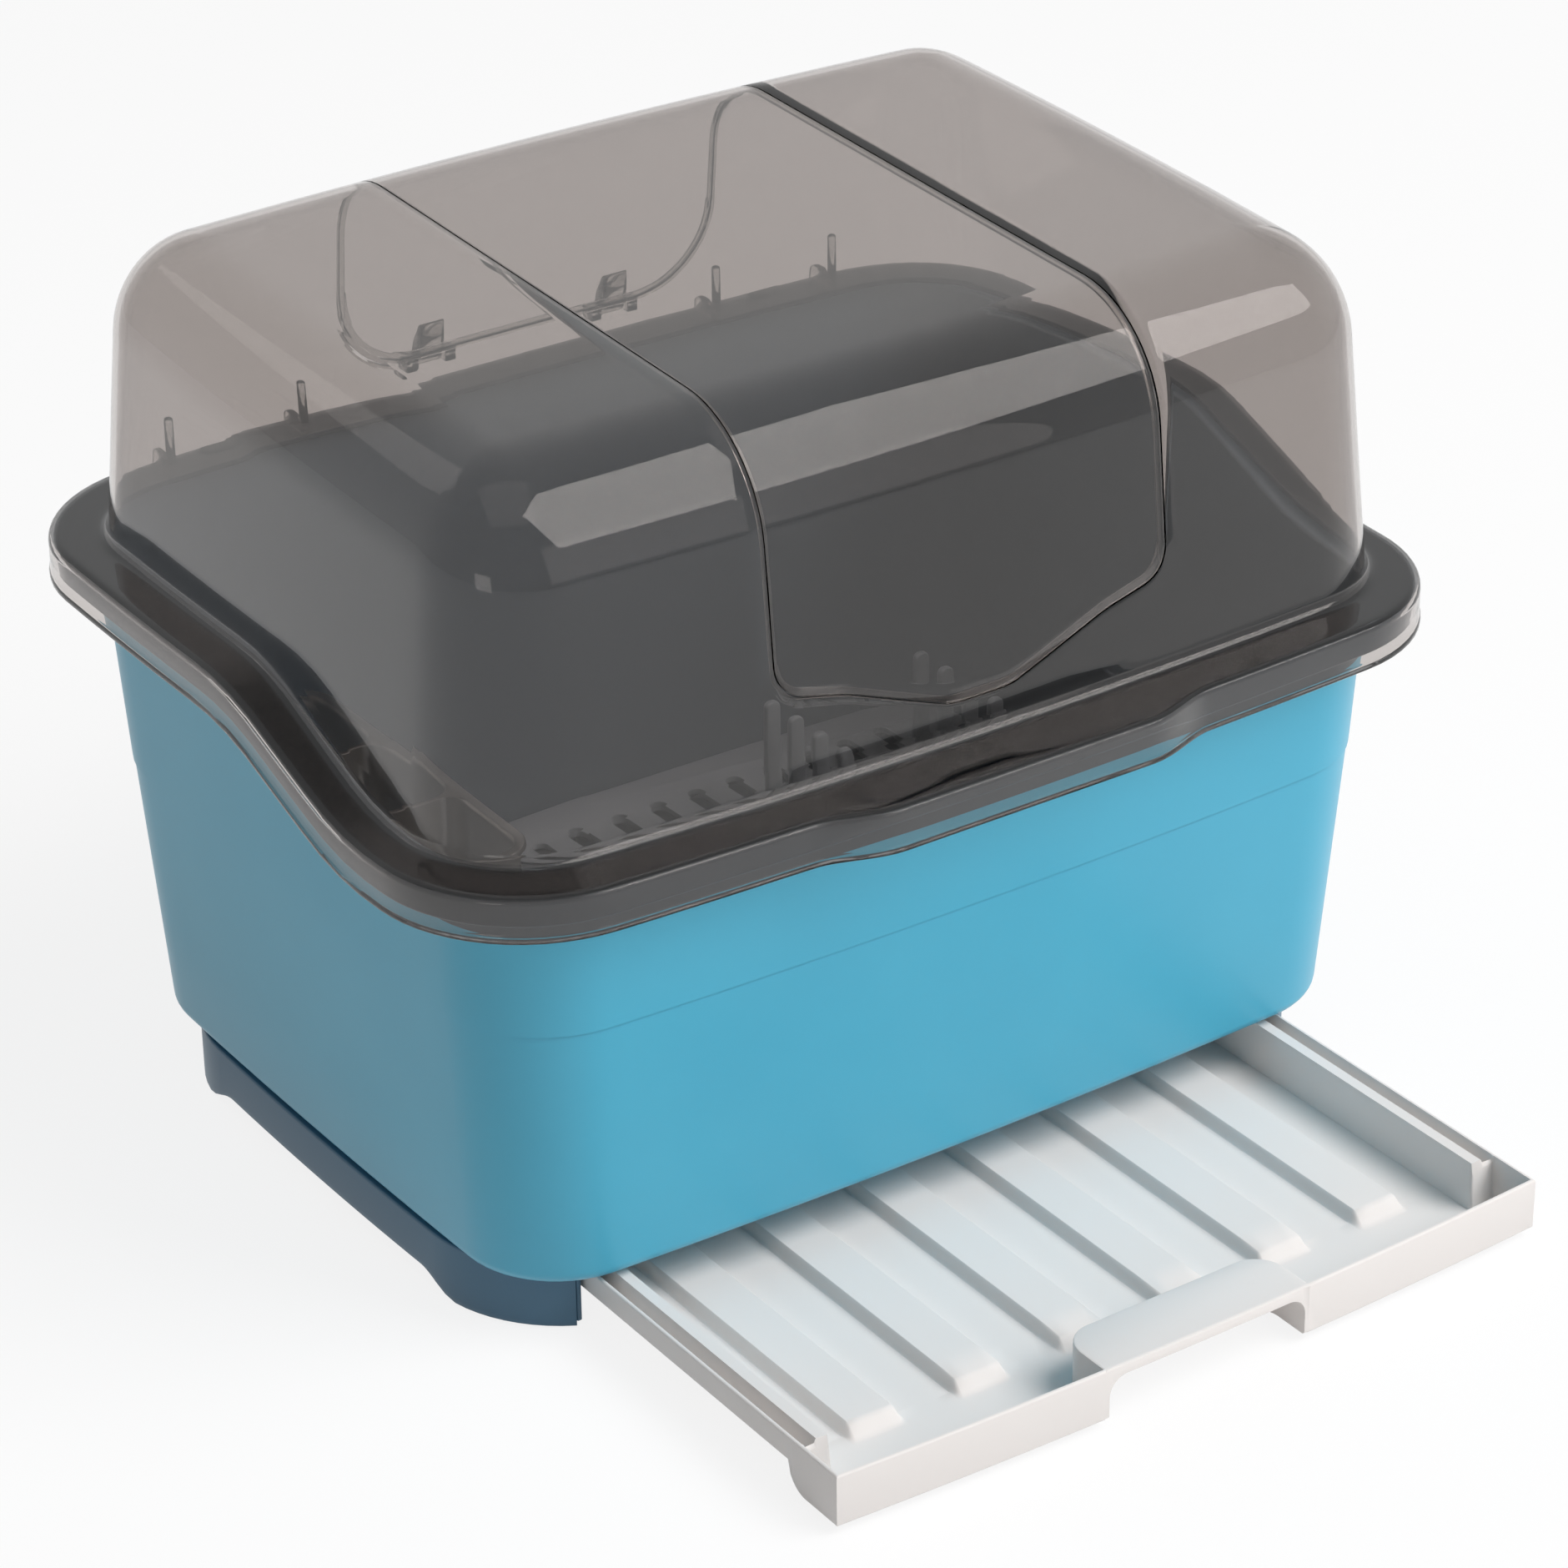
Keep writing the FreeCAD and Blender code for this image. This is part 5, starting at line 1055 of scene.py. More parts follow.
@dataclass
class TrayShape:
    """White drip tray: ridged pan, side channels over the rails, bowed front with a pull recess."""

    half_x: float = 167.5
    front: float = TRAY_FRONT
    bow: float = TRAY_BOW - 0.06
    rear: float = -12.0
    top: float = 26.0
    low: float = 3.9
    skin: float = 1.6
    wall: float = 2.0
    strip: float = 15.5
    channel: float = 17.0
    rib_outer: float = 160.4
    rib_inner: float = 154.5
    ridge_wide: float = 24.0
    ridge_step: float = 48.9
    ridge_first: float = -134.4
    ridge_high: float = 5.0
    ridges: int = 6
    edge: float = 0.9
    apron: float = 31.0
    ridge_front: float = -266.0
    rib_front: float = -281.5
    channel_front: float = -279.0
    strip_edge: float = 156.5
    clear_by: float = 3.4
    clear_from: float = 157.0
    clear_over: float = 10.5
    pull_half: float = 49.0
    pull_deep: float = 24.0
    pull_corner: float = 13.0
    pull_wall: float = 2.0

    def front_y(self, x: Grid) -> Grid:
        """Front face: an arc through the corners whose middle stands forward by the bow."""
        radius = (self.half_x**2 + self.bow**2) / (2 * self.bow)
        return radius - self.front - self.bow - np.sqrt(radius**2 - x**2)

    def rear_y(self, x: Grid) -> Grid:
        """Rear face: straight, its corners eased forward to clear the plinth's round corners."""
        return self.rear - self.clear_by * ease((np.abs(x) - self.clear_from) / self.clear_over)

    def upper(self, x: Grid, d: Grid, y: Grid) -> Grid:
        """Height of the tray's upper side.

        It is the largest of floor, ridges, channel, ribs and walls, each joined by smooth steps.

        Args:
            x: place across the tray.
            d: distance behind the front face.
            y: place from front to rear.

        Returns:
            Height of the surface.
        """
        floor = self.low + self.skin
        across = np.abs(x)
        z = np.full(np.broadcast(x, y).shape, floor)
        soft = 3.0
        for k in range(self.ridges):
            left = self.ridge_first + k * self.ridge_step
            rise = ease((x - left + 0.8) / soft) * ease((left + self.ridge_wide + 0.8 - x) / soft)
            rise = rise * ease((y - self.ridge_front) / 7) * ease((self.rear - self.wall - 2 - y) / 4 + 1)
            z = z + self.ridge_high * rise
        # Inner ribs with rounded front ends, and the channels outside them
        rib = ease((across - self.rib_inner + 0.5) / 1.0) * ease((y - self.rib_front) / 3)
        z = z + (self.top - z) * rib
        channel = ease((across - self.rib_outer + 0.5) / 1.0) * ease((y - self.channel_front) / 2.5)
        z = z + (self.channel - z) * channel
        # Outer walls: sides, front, rear
        wall = ease((across - self.half_x + self.wall + 0.4) / 0.8)
        wall = np.maximum(wall, ease((self.wall + 0.4 - d) / 0.8))
        wall = np.maximum(wall, ease((y - self.rear_y(x) + self.wall + 0.4) / 0.8))
        z = z + (self.top - z) * wall
        return z - self.rounding(x, d, y)

    def rounding(self, x: Grid, d: Grid, y: Grid) -> Grid:
        """Fall of the rounded edge, which follows the distance from the nearest outer face."""
        out = np.minimum(np.minimum(self.half_x - np.abs(x), d), self.rear_y(x) - y)
        inside = np.clip(1 - out / self.edge, 0, 1)
        return self.edge * (1 - np.sqrt(1 - inside**2))

    def lower(self, x: Grid, d: Grid, y: Grid) -> Grid:
        """Height of the underside: the pan, the side strips above the rails, the front apron's return."""
        strip = ease((np.abs(x) - self.strip_edge + 0.3) / 0.6)
        curve = np.clip((d - self.apron + 11) / 11, 0, 1)
        rise = np.where(d > self.apron, 1.0, 1 - np.sqrt(np.maximum(1 - curve**2, 0)))
        z = self.low + (self.strip - self.low) * strip * rise
        return z + self.rounding(x, d, y)

    def lines(self) -> tuple[Grid, Grid]:
        """Grid lines across the tray and along its depth, close together at every edge."""
        edge = np.array([0, 0.08, 0.25, 0.5, 0.9])
        step = np.array([-0.55, -0.25, 0, 0.25, 0.55])
        half = [
            self.half_x - edge, self.half_x - self.wall + step, [163.0], self.rib_outer + step,
            self.strip_edge + np.array([1.0, 0.4, 0.0, -0.4]), self.rib_inner + step,
        ]
        x = [np.concatenate([np.atleast_1d(h) for h in half])]
        x.append(-x[0])
        for k in range(self.ridges):
            left = self.ridge_first + k * self.ridge_step
            x.append(left - 0.8 + np.linspace(0, 3, 6))
            x.append(left + self.ridge_wide + 0.8 - np.linspace(0, 3, 6))
            x.append([left + 8, left + 16])
            x.append([left + 33, left + 41])
        x.append([48.2, 48.8, -48.2, -48.8, 0.0])
        depth = self.front + self.rear
        d = [edge, self.wall + step, [5, 10, 16], np.linspace(20, 31, 8)]
        d += [depth - edge, depth - self.wall + step, np.linspace(17.5, 26, 10), np.linspace(34, 46, 9)]
        d += [np.linspace(60, depth - 12, 9), depth - 3 - np.linspace(0, 6, 5)]
        xs = np.unique(np.round(np.concatenate([np.atleast_1d(v) for v in x]), 3))
        ds = np.unique(np.round(np.concatenate([np.atleast_1d(v) for v in d]), 3))
        return xs, ds

    def build(self) -> Piece:
        """Upper and lower side on one grid, joined at the edge; then the pull is added and hollowed."""
        xs, ds = self.lines()
        depth = self.front + self.rear
        x, d = np.meshgrid(xs, ds)
        front = self.front_y(x)
        y = front + d * (self.rear_y(x) - front) / depth
        # Behind the pull the front wall steps back, the pull's own face stands there
        pulled = np.clip((self.pull_half - 0.3 - np.abs(x)) / 0.4, 0, 1) * np.clip(1 - d / 12, 0, 1) * 0.5
        top = self.upper(x, d, y)
        bottom = self.lower(x, d, y)
        y = y + pulled
        body = Sheaf()
        body.grid(stack(x, y, top))
        body.grid(stack(x, y, bottom), flip=True)
        for pick in ((0, slice(None)), (-1, slice(None)), (slice(None), 0), (slice(None), -1)):
            edge = np.stack((stack(x, y, bottom)[pick], stack(x, y, top)[pick]))
            flip = pick in ((-1, slice(None)), (slice(None), 0))
            body.grid(edge, flip=flip)
        tray = body.build("tray_pan", weld=0.005)
        outer = self.pull_line(self.pull_half, self.pull_deep, self.pull_corner, 0.0)
        block = slab(outer, self.low + 0.5, self.top, edge=self.edge)
        carve(tray, solid_piece("pull_block", block), "UNION")
        # The notch's upper edge is rounded, so the front wall runs into the pull's thin lip in a curve
        for inset, z0, z1, edge in ((-20.0, -10.0, 21.6, 8.0), (2.5, 20.5, 23.8, 0.01)):
            sizes = (v - self.pull_wall for v in (self.pull_half, self.pull_deep, self.pull_corner))
            room = slab(self.pull_line(*sizes, inset), z0, z1, edge=edge, steps=9)
            carve(tray, solid_piece("pull_tool", room))
        return tray

    def pull_line(self, half: float, deep: float, corner: float, inset: float) -> Grid:
        """Plan of the pull: the bowed front and a straight rear with round corners.

        Args:
            half: half width.
            deep: place of the rear behind the tray's front corners.
            corner: radius of the rear corners.
            inset: how far the front is moved back.

        Returns:
            Closed line of points.
        """
        x = np.linspace(-half, half, 25)
        front = np.stack((x, self.front_y(x) + inset), 1)
        rear = deep - self.front
        start = rear - 40
        corners = [(half, start, 0), (half, rear, corner), (-half, rear, corner), (-half, start, 0)]
        return np.concatenate((front, rounded_polygon(corners)[1:-1]))


@dataclass
class LidShape:
    """Smoke-clear lid: lip, flange that dips to the front, drafted dome with a sloping roof."""

    half_x: float = LID_HALF_X
    half_y: float = LID_HALF_Y - 0.06
    corner: float = 66.0
    flange_top: float = 216.3
    lip: float = 18.7
    wall: float = 2.2
    base: float = 215.6
    dome_x: float = 221.6
    dome_y: float = 163.9
    dome_corner: float = 50.2
    draft_x: float = 0.083
    draft_y: float = 0.105
    top: float = 364.4
    tilt: float = 0.0477
    door_wall: float = 1.9
    door_half: float = 90.6
    cut_round: float = 0.85
    gap: float = 0.6
    hinge_z: float = 268.0
    pin_out: float = 4.6
    door_radius: float = 38.0
    turn: float = 4.0
    fillet: float = 4.5
    round_x: float = 41.3
    round_front: float = 47.8
    round_rear: float = 39.6
    grip_y: float = -194.5
    ledge_wall: float = 0.9
    peg_x: tuple[float, float] = (102.0, 163.0)
    peg_y: float = 165.5
    peg_high: float = 23.4

    def lip_ring(self, columns: Columns, inset: float) -> Ring:
        """Outline of the lip with the grip, which is level at its front and eases back at its sides."""
        x, y, _, _ = outline(columns, self.half_x - inset, self.half_y - inset, self.corner - inset)
        grip = ease((94 - np.abs(x)) / 36) * (y < 0)
        return x, y + (self.grip_y + inset - y) * grip

    def dome_ring(self, columns: Columns, in_x: Grid, in_y: Grid) -> tuple[Grid, Grid, Grid, Grid]:
        """Outline of the dome, moved in by in_x at the sides and in_y at front and rear."""
        corner = np.maximum(self.dome_corner - in_x, 1.2)
        return outline(columns, self.dome_x - in_x, self.dome_y - in_y, corner)

    def wall_ring(self, columns: Columns, z: Grid, out: float = 0.0) -> Ring:
        """Outline of the dome's drafted wall at a height, moved out a little."""
        climb = z - self.base
        return self.dome_ring(columns, self.draft_x * climb - out, self.draft_y * climb - out)[:2]

    def wall_foot(self, columns: Columns) -> Grid:
        """Height at which each column's wall meets the flange."""
        z = np.full(columns.count, self.flange_top)
        for _ in range(6):
            z = self.flange_top + rim_rise(self.wall_ring(columns, z)[1])
        return z

    def crown(self, columns: Columns, start: Grid, wall_rows: int = 10, roof_rows: int = 6) -> Grid:
        """Rows from a start height on the wall up, round the top edge and over the roof.

        In a side view the edge is a circle that touches the wall and the roof: its middle lies one radius
        under the roof, and its points are the corner plus radius times (tangent length - cosine, sine).

        Args:
            columns: the columns.
            start: height of the first row at each column.
            wall_rows: rows on the wall.
            roof_rows: rows on the roof, the last one on the middle line.

        Returns:
            The grid of points.
        """
        _, y, nx, ny = self.dome_ring(columns, 40.0, 40.0)
        round_x = self.round_x
        round_y = np.where(columns.sign_y < 0, self.round_front, self.round_rear)
        lean_x, lean_y = math.atan(self.draft_x), math.atan(self.draft_y)

        def bend(t: float) -> Grid:
            """Points at a share of the turn from wall to roof."""
            phi_x, phi_y = lean_x + (QUARTER - lean_x) * t, lean_y + (QUARTER - lean_y) * t
            drop = round_x * (1 - math.sin(phi_x)) * nx**2 + round_y * (1 - math.sin(phi_y)) * ny**2
            reach_x = round_x * (math.tan(math.pi / 4 - lean_x / 2) - math.cos(phi_x))
            reach_y = round_y * (math.tan(math.pi / 4 - lean_y / 2) - math.cos(phi_y))
            place = y
            for _ in range(6):
                top = self.top + self.tilt * place
                climb = top - self.base
                in_x, in_y = self.draft_x * climb + reach_x, self.draft_y * climb + reach_y
                x, place, _, _ = self.dome_ring(columns, in_x, in_y)
            return stack(x, place, top - drop)

        foot, head = stack(*self.wall_ring(columns, start), start), bend(0.0)
        rows = [foot + (head - foot) * t for t in np.linspace(0, 1, wall_rows + 1)[:-1]]
        rows += [bend(t) for t in np.linspace(0, 1, 15)]
        edge_x, edge_y = rows[-1][:, 0], rows[-1][:, 1]
        target = np.where(columns.zone == Zone.LONG.value, edge_x, columns.sign_x * FIXED_MAX)
        for t in np.linspace(0, 1, roof_rows + 1)[1:]:
            x = edge_x + (target - edge_x) * t
            y_now = edge_y * (1 - t)
            rows.append(stack(x, y_now, self.top + self.tilt * y_now))
        return np.stack(rows)

    def front_edge(self, x: Grid, grow: float) -> Grid:
        """Height of the door's front edge: shoulders, wave and finger tab, grown by a margin."""
        side = self.door_half + grow
        right = [(14, 232 - grow, 20 + grow), (60, 249 - grow, 40 - grow)]
        right += [(side, 256 - grow, 14 + grow), (side, 400, 0)]
        line = rounded_polygon([(-x, z, radius) for x, z, radius in right[::-1]] + right, 24)
        return np.interp(x, line[1:-1, 0], line[1:-1, 1])

    def rear_edge(self, x: Grid, grow: float) -> Grid:
        """Height of the door's rear edge: level with large round corners, grown by a margin."""
        radius = self.door_radius + grow
        over = np.clip(np.abs(x) - (self.door_half + grow - radius), 0, radius)
        return 272 - grow + radius - np.sqrt(radius**2 - over**2)

    def hinge_y(self) -> float:
        """Place of the hinge axis behind the dome's rear wall."""
        return self.dome_y - self.draft_y * (self.hinge_z - self.base) + self.pin_out

    def flange_rows(self, columns: Columns) -> list[Grid]:
        """Rows from the lip's lower bead up the lip, over the flange and round the wall's foot."""
        rows = []
        for inset, rise in ((0.5, 0.0), (0.0, 0.6), (0.0, 2.2), (0.35, 2.8), (0.6, 3.4), (0.6, 9.0)):
            x, y = self.lip_ring(columns, inset)
            rows.append(stack(x, y, self.flange_top - self.lip + rise + rim_rise(y)))
        turn, fillet = self.turn, self.fillet
        for a in np.linspace(0, QUARTER, 7):
            x, y = self.lip_ring(columns, 0.6 + turn * (1 - math.cos(a)))
            rows.append(stack(x, y, self.flange_top - turn + turn * math.sin(a) + rim_rise(y)))
        foot = self.wall_foot(columns)
        for x, y in between(rows[-1].T[:2], self.wall_ring(columns, foot, fillet), 6):
            rows.append(stack(x, y, self.flange_top + rim_rise(y)))
        for a in np.linspace(0, QUARTER, 6)[1:]:
            z = foot + fillet * (1 - math.cos(a))
            rows.append(stack(*self.wall_ring(columns, z, fillet * (1 - math.sin(a))), z))
        return rows

    def seam(self, x: Grid, y: Grid, in_door: Grid, side: float) -> Grid:
        """Height at which the lower part of the wall ends at each column.

        Args:
            x: the columns' places across.
            y: their places from front to rear.
            in_door: whether a column runs into the door's opening, where the line is the opening's edge.
            side: half width of the opening; beyond it the line eases from the front's height to the rear's.

        Returns:
            The heights.
        """
        clipped = np.clip(x, -side, side)
        edge = np.where(y < 0, self.front_edge(clipped, self.gap), self.rear_edge(clipped, self.gap))
        corner = np.array([side])
        front = self.front_edge(corner, self.gap)[0]
        rear = self.rear_edge(corner, self.gap)[0]
        return np.where(in_door, edge, front + (rear - front) * ease((y + 110) / 220))

    def build(self) -> Piece:
        """Lower part up to a line at the door's edges, upper part outside the door, then the wall."""
        side = self.door_half + self.gap
        radius = self.door_radius + self.gap
        bend = side - radius + radius * np.sin(np.linspace(0, QUARTER, 13))
        middle, beyond = np.linspace(0, side - radius, 11)[:-1], np.linspace(side, FIXED_MAX, 6)[1:]
        columns = around(np.concatenate((middle, bend, beyond)))
        in_door = (columns.zone == Zone.LONG.value) & (columns.place <= side)
        x, y = self.wall_ring(columns, np.full(columns.count, 260.0))
        split = self.seam(x, y, in_door, side)
        rows = self.flange_rows(columns)
        start = rows[-1][:, 2]
        for t in np.linspace(0, 1, 8)[1:]:
            z = start + (split - start) * t
            rows.append(stack(*self.wall_ring(columns, z), z))
        body = Sheaf()
        body.grid(np.stack(rows), wrap=True)
        order = np.arange(columns.count)
        outside = ~in_door | (columns.place >= side - 1e-6)
        for sign in (-1, 1):
            part = order[outside & (columns.sign_x == sign) & (np.abs(x) > side - 1)]
            if sign < 0:
                part = part[np.argsort(np.where(part < columns.count / 2, part + columns.count, part))]
            body.grid(self.crown(columns.pick(part), split[part]))
        return thicken(body.build("lid_shell"), self.wall, self.cut_round)

    def painted_shade_flange_faces(self, lid: Piece) -> Grid:
        """Level faces of the flange, tinted much darker than the rest of the lid as painted shade.

        Args:
            lid: the finished shell.

        Returns:
            One truth value for each face.
        """
        middles, normals = face_data(lid)
        up = middles[:, 2] - self.flange_top - rim_rise(middles[:, 1])
        return (np.abs(normals[:, 2]) > 0.7) & (up > -self.wall - 1) & (up < 1)

    def panel(self, grow: float, half: float, columns_per_side: int = 26) -> Grid:
        """Skin of the dome between the door's front and rear edges, for columns up to a half width."""
        radius = self.door_radius
        bend = half - radius + radius * np.sin(np.linspace(0, QUARTER, 14)[1:])
        x = np.concatenate((np.linspace(0, half - radius, columns_per_side - 13), bend))
        x = np.concatenate((-x[::-1], x[1:]))
        front = self.band(x, -1, self.front_edge(x, grow))
        rear = self.band(x, 1, self.rear_edge(x, grow))
        return np.concatenate((front, rear[::-1][1:]))

    def band(self, x: Grid, side: int, start: Grid, **rows: int) -> Grid:
        """Rows at fixed x from a start height to the roof's middle line, at the front or at the rear."""
        zone, sign_y = np.full(len(x), Zone.LONG.value), np.full(len(x), float(side))
        columns = Columns(zone, np.abs(x), np.where(x < 0, -1.0, 1.0), sign_y)
        return self.crown(columns, start, **rows)

    def door(self) -> Piece:
        """Saddle-shaped door panel."""
        body = Sheaf()
        body.grid(self.panel(0.0, self.door_half))
        return thicken(body.build("door_panel"), self.door_wall, self.cut_round)

    def ledge(self) -> Piece:
        """Frame under the seam: two bands along the sides and one strip under each end."""
        inner, outer = self.door_half - 2.0, self.door_half + self.gap + 0.8
        body = Sheaf()
        for sign in (-1, 1):
            x = np.sort(sign * (inner + (outer - inner) * np.sin(np.linspace(0, QUARTER, 8))))
            front = self.band(x, -1, self.front_edge(x, self.gap + 1.0))
            rear = self.band(x, 1, self.rear_edge(x, self.gap + 1.0))
            body.grid(np.concatenate((front, rear[::-1][1:])))
        x = (inner - 0.05) * np.sin(np.linspace(-QUARTER, QUARTER, 61))
        for side, edge in ((-1, self.front_edge), (1, self.rear_edge)):
            low, high = edge(x, self.gap + 1.0), edge(x, -2.6)
            rows = [self.band(x, side, low + (high - low) * t)[0] for t in np.linspace(0, 1, 4)]
            body.grid(np.stack(rows), flip=side > 0)
        ledge = body.build("lid_ledge", weld=0.02)
        mesh = ledge.data
        points = np.empty(len(mesh.vertices) * 3)
        normals = np.empty(len(mesh.vertices) * 3)
        mesh.vertices.foreach_get("co", points)
        mesh.vertices.foreach_get("normal", normals)
        mesh.vertices.foreach_set("co", points - normals * (self.wall + 0.05) * MM)
        return thicken(ledge, self.ledge_wall, 0.25)

    def fittings(self) -> Piece:
        """Hinge lugs at the dome's rear wall, and the pegs with their ribs on the rear flange."""
        body = Sheaf()
        axis_y = self.hinge_y()
        wall_y = axis_y - self.pin_out
        flange = self.flange_top + RIM_RISE
        for side in (-1, 1):
            for start in (-11.5, 6.5):
                x = side * HINGE_X + start
                line = rounded_polygon([
                    (wall_y - 1.2, self.hinge_z - 3.5, 0.4), (axis_y + 3.5, self.hinge_z - 3.5, 3.4),
                    (axis_y + 3.5, self.hinge_z + 3.5, 3.4), (axis_y - 1.5, self.hinge_z + 3.5, 1.0),
                    (wall_y - 1.2, self.hinge_z + 2.9, 0.4),
                ], 6)
                body.solid(slab(line, x, x + 5.0, "yz", 0.5))
            for x in (side * self.peg_x[0], side * self.peg_x[1]):
                y, low, high = self.peg_y, flange - self.wall / 2, flange + self.peg_high
                peg = [(0.0, low), (2.6, low), (2.5, flange + 0.3), (1.95, flange + 1.4), (1.85, high)]
                for a in np.linspace(0.3, QUARTER, 5):
                    peg.append((1.85 * math.cos(a), high + 1.1 * math.sin(a)))
                body.revolve(peg, (x, y, 0), steps=24)
                line = rounded_polygon([
                    (y, low, 0), (y + 15.4, low, 0), (y + 15.4, flange + 6.5, 3.9),
                    (y + 5.7, flange + 6.5, 3.9), (y + 4.1, flange + 2.2, 2.0), (y, flange + 2.2, 0),
                ], 6)
                body.solid(slab(line, x - 1.5, x + 1.5, "yz", 0.6))
            a, b = sorted((side * 127.0, side * 143.0))
            body.solid(round_block(a, b, 173.1, 178.8, flange - 1.1, flange + 1.1, 0.6))
        return body.build("lid_fittings")

    def knuckles(self) -> Piece:
        """Two bored door knuckles with the arms that hold them to the panel's rear edge."""
        body = Sheaf()
        axis_y = self.hinge_y()
        wall_y = axis_y - self.pin_out
        for side in (-1, 1):
            x = side * HINGE_X
            ring = [(1.55, -5.5), (1.9, -6.0), (3.1, -6.0), (3.5, -5.6)]
            ring += [(radius, -place) for radius, place in ring[::-1]] + [(1.55, -5.5)]
            body.revolve(ring, (x, axis_y, self.hinge_z), "x")
            line = rounded_polygon([
                (wall_y - 1.4, 272.7, 0.3), (axis_y - 2.9, self.hinge_z + 2.1, 0.3),
                (axis_y + 2.7, self.hinge_z + 2.2, 0.8), (wall_y - 2.2, 286.0, 0.6),
            ], 5)
            body.solid(slab(line, x - 6.0, x + 6.0, "yz", 0.5))
        return body.build("door_knuckles")


@dataclass
class GridShape:
    """Lift-out drain grid: slotted plate with a downturned edge on round legs."""

    top: float = 46.0
    skin: float = 2.6
    edge: float = 5.0
    turn: float = 1.6
    leg: float = 5.0
    floor: float = 31.0
    slot_half: float = 4.0
    slot_long: float = 37.0
    slot_step: tuple[float, float] = (20.0, 92.0)
    legs: tuple[tuple[float, float], ...] = (
        (-184, 0), (184, 0), (-120, 136), (120, 136), (-120, -136), (120, -136), (0, 136), (0, -136)
    )

    def ring(self, columns: Columns, inset: float) -> Ring:
        """Outline inside the tub's walls, two millimetres clear of them."""
        shape = TubShape()
        return shape.ring(columns, np.full(columns.count, self.top), shape.wall + 2.0 + inset)

    def build(self) -> Piece:
        """Plate and edge as one closed profile, slots carved out, legs joined on."""
        columns = PLAIN
        low = self.top - self.edge
        rows = []
        skin, under, turn = self.skin, self.top - self.skin, self.turn
        spots = [(skin + 5, under), (skin + 1.2, under), (skin, under - 0.8)]
        spots += [(skin, low + 0.6), (skin - 0.6, low), (0.6, low), (0.0, low + 0.6)]
        for a in np.linspace(0, QUARTER, 5):
            spots.append((turn * (1 - math.cos(a)), self.top - turn + turn * math.sin(a)))
        for inset, z in spots:
            rows.append(stack(*self.ring(columns, inset), z))
        plate = solid_piece("grid_plate", np.stack(rows))
        low = self.top - 6
        carve(plate, slot_tools(range(-8, 9), self.slot_step, self.slot_half, self.slot_long, 5, low))
        legs = Sheaf()
        leg = [(0.0, self.floor), (self.leg - 0.6, self.floor), (self.leg, self.floor + 0.8)]
        leg += [(self.leg, self.top - 1.0), (0.0, self.top - 1.0)]
        for x, y in self.legs:
            legs.revolve(leg, (x, y, 0), steps=24)
        carve(plate, legs.build("leg_tool"), "UNION")
        return soften(plate, 0.5, 60)


@dataclass
class RackShape:
    """Plate rack: two rails with ten fins each, tied by two bars."""

    middle: float = 118.0
    half: float = 40.0
    front: float = -80.0
    bar: float = 8.0
    step: float = 18.0
    fin: float = 4.0
    fins: int = 10
    high: float = 46.0
    low: float = 46.0
    edge: float = 1.2

    def build(self) -> Piece:
        """Rounded bars, and fins as slabs with round tops."""
        body = Sheaf()
        rear = self.front + (self.fins - 1) * self.step + self.fin + 2 * self.bar
        top, edge = self.low + self.bar, self.edge
        left, right = self.middle - self.half, self.middle + self.half
        for x in (left, right):
            body.solid(round_block(x - 4, x + 4, self.front, rear, self.low, top, edge))
            for k in range(self.fins):
                y = self.front + self.bar + k * self.step
                tip = top + self.high
                foot = [(x - 4, top - 4, 0), (x + 4, top - 4, 0)]
                line = rounded_polygon(foot + [(x + 3.6, tip, 3.2), (x - 3.6, tip, 3.2)], 8)
                body.solid(slab(line, -y - self.fin, -y, "xz", edge))
        for y in (self.front, rear - self.bar):
            block = round_block(left, right, y + 0.1, y + self.bar - 0.1, self.low + 0.1, top - 0.1, edge)
            body.solid(block)
        return body.build("rack_comb")


@dataclass
class HolderShape:
    """Cutlery holder: tall box of three rooms with a rim bead and drain holes."""

    left: float = -195.0
    wide: float = 60.0
    front: float = -56.0
    long: float = 164.0
    low: float = 46.0
    high: float = 118.0
    wall: float = 2.2
    corner: float = 12.0
    bead: float = 2.4
    hole: float = 3.0
    hole_step: float = 15.0

    def plan(self, front: float, rear: float, inset: float) -> Grid:
        """Rounded rectangle between two places, moved in from the holder's sides by the inset."""
        x0, x1 = self.left + inset, self.left + self.wide - inset
        r = self.corner - inset
        return rounded_polygon([(x0, front, r), (x1, front, r), (x1, rear, r), (x0, rear, r)])

    def build(self) -> Piece:
        """Outer block with its bead, less the rooms and the holes."""
        rear, top = self.front + self.long, self.low + self.high
        rows = []
        bead = self.bead
        foot = [(0.6, self.low), (0.0, self.low + 0.8)]
        beads = [(0.0, top - bead - 1.0), (-0.9, top - bead - 0.5), (-bead, top - bead + 0.6)]
        beads += [(-bead, top - 0.7), (-bead + 0.7, top)]
        for inset, z in foot + beads:
            line = self.plan(self.front + inset, rear - inset, inset)
            rows.append(stack(*line.T, z))
        holder = solid_piece("holder_box", np.stack(rows))
        room_long = (self.long - 4 * self.wall) / 3
        tools, holes = Sheaf(), Sheaf()
        low, high = self.low - 2, self.low + 5
        drill = [(0.0, low), (self.hole, low), (self.hole, high), (0.0, high)]
        for k in range(3):
            start = self.front + self.wall + k * (room_long + self.wall)
            line = self.plan(start, start + room_long, self.wall)
            tools.solid(slab(line, self.low + self.wall, top + 4, edge=2.0))
            for row in (-1, 0, 1):
                for column in (-1, 0, 1):
                    x = self.left + self.wide / 2 + column * self.hole_step
                    y = start + room_long / 2 + row * self.hole_step
                    holes.revolve(drill, (x, y, 0), steps=20)
        carve(holder, tools.build("room_tool"))
        carve(holder, holes.build("hole_tool"))
        return soften(holder, 0.4, 60)


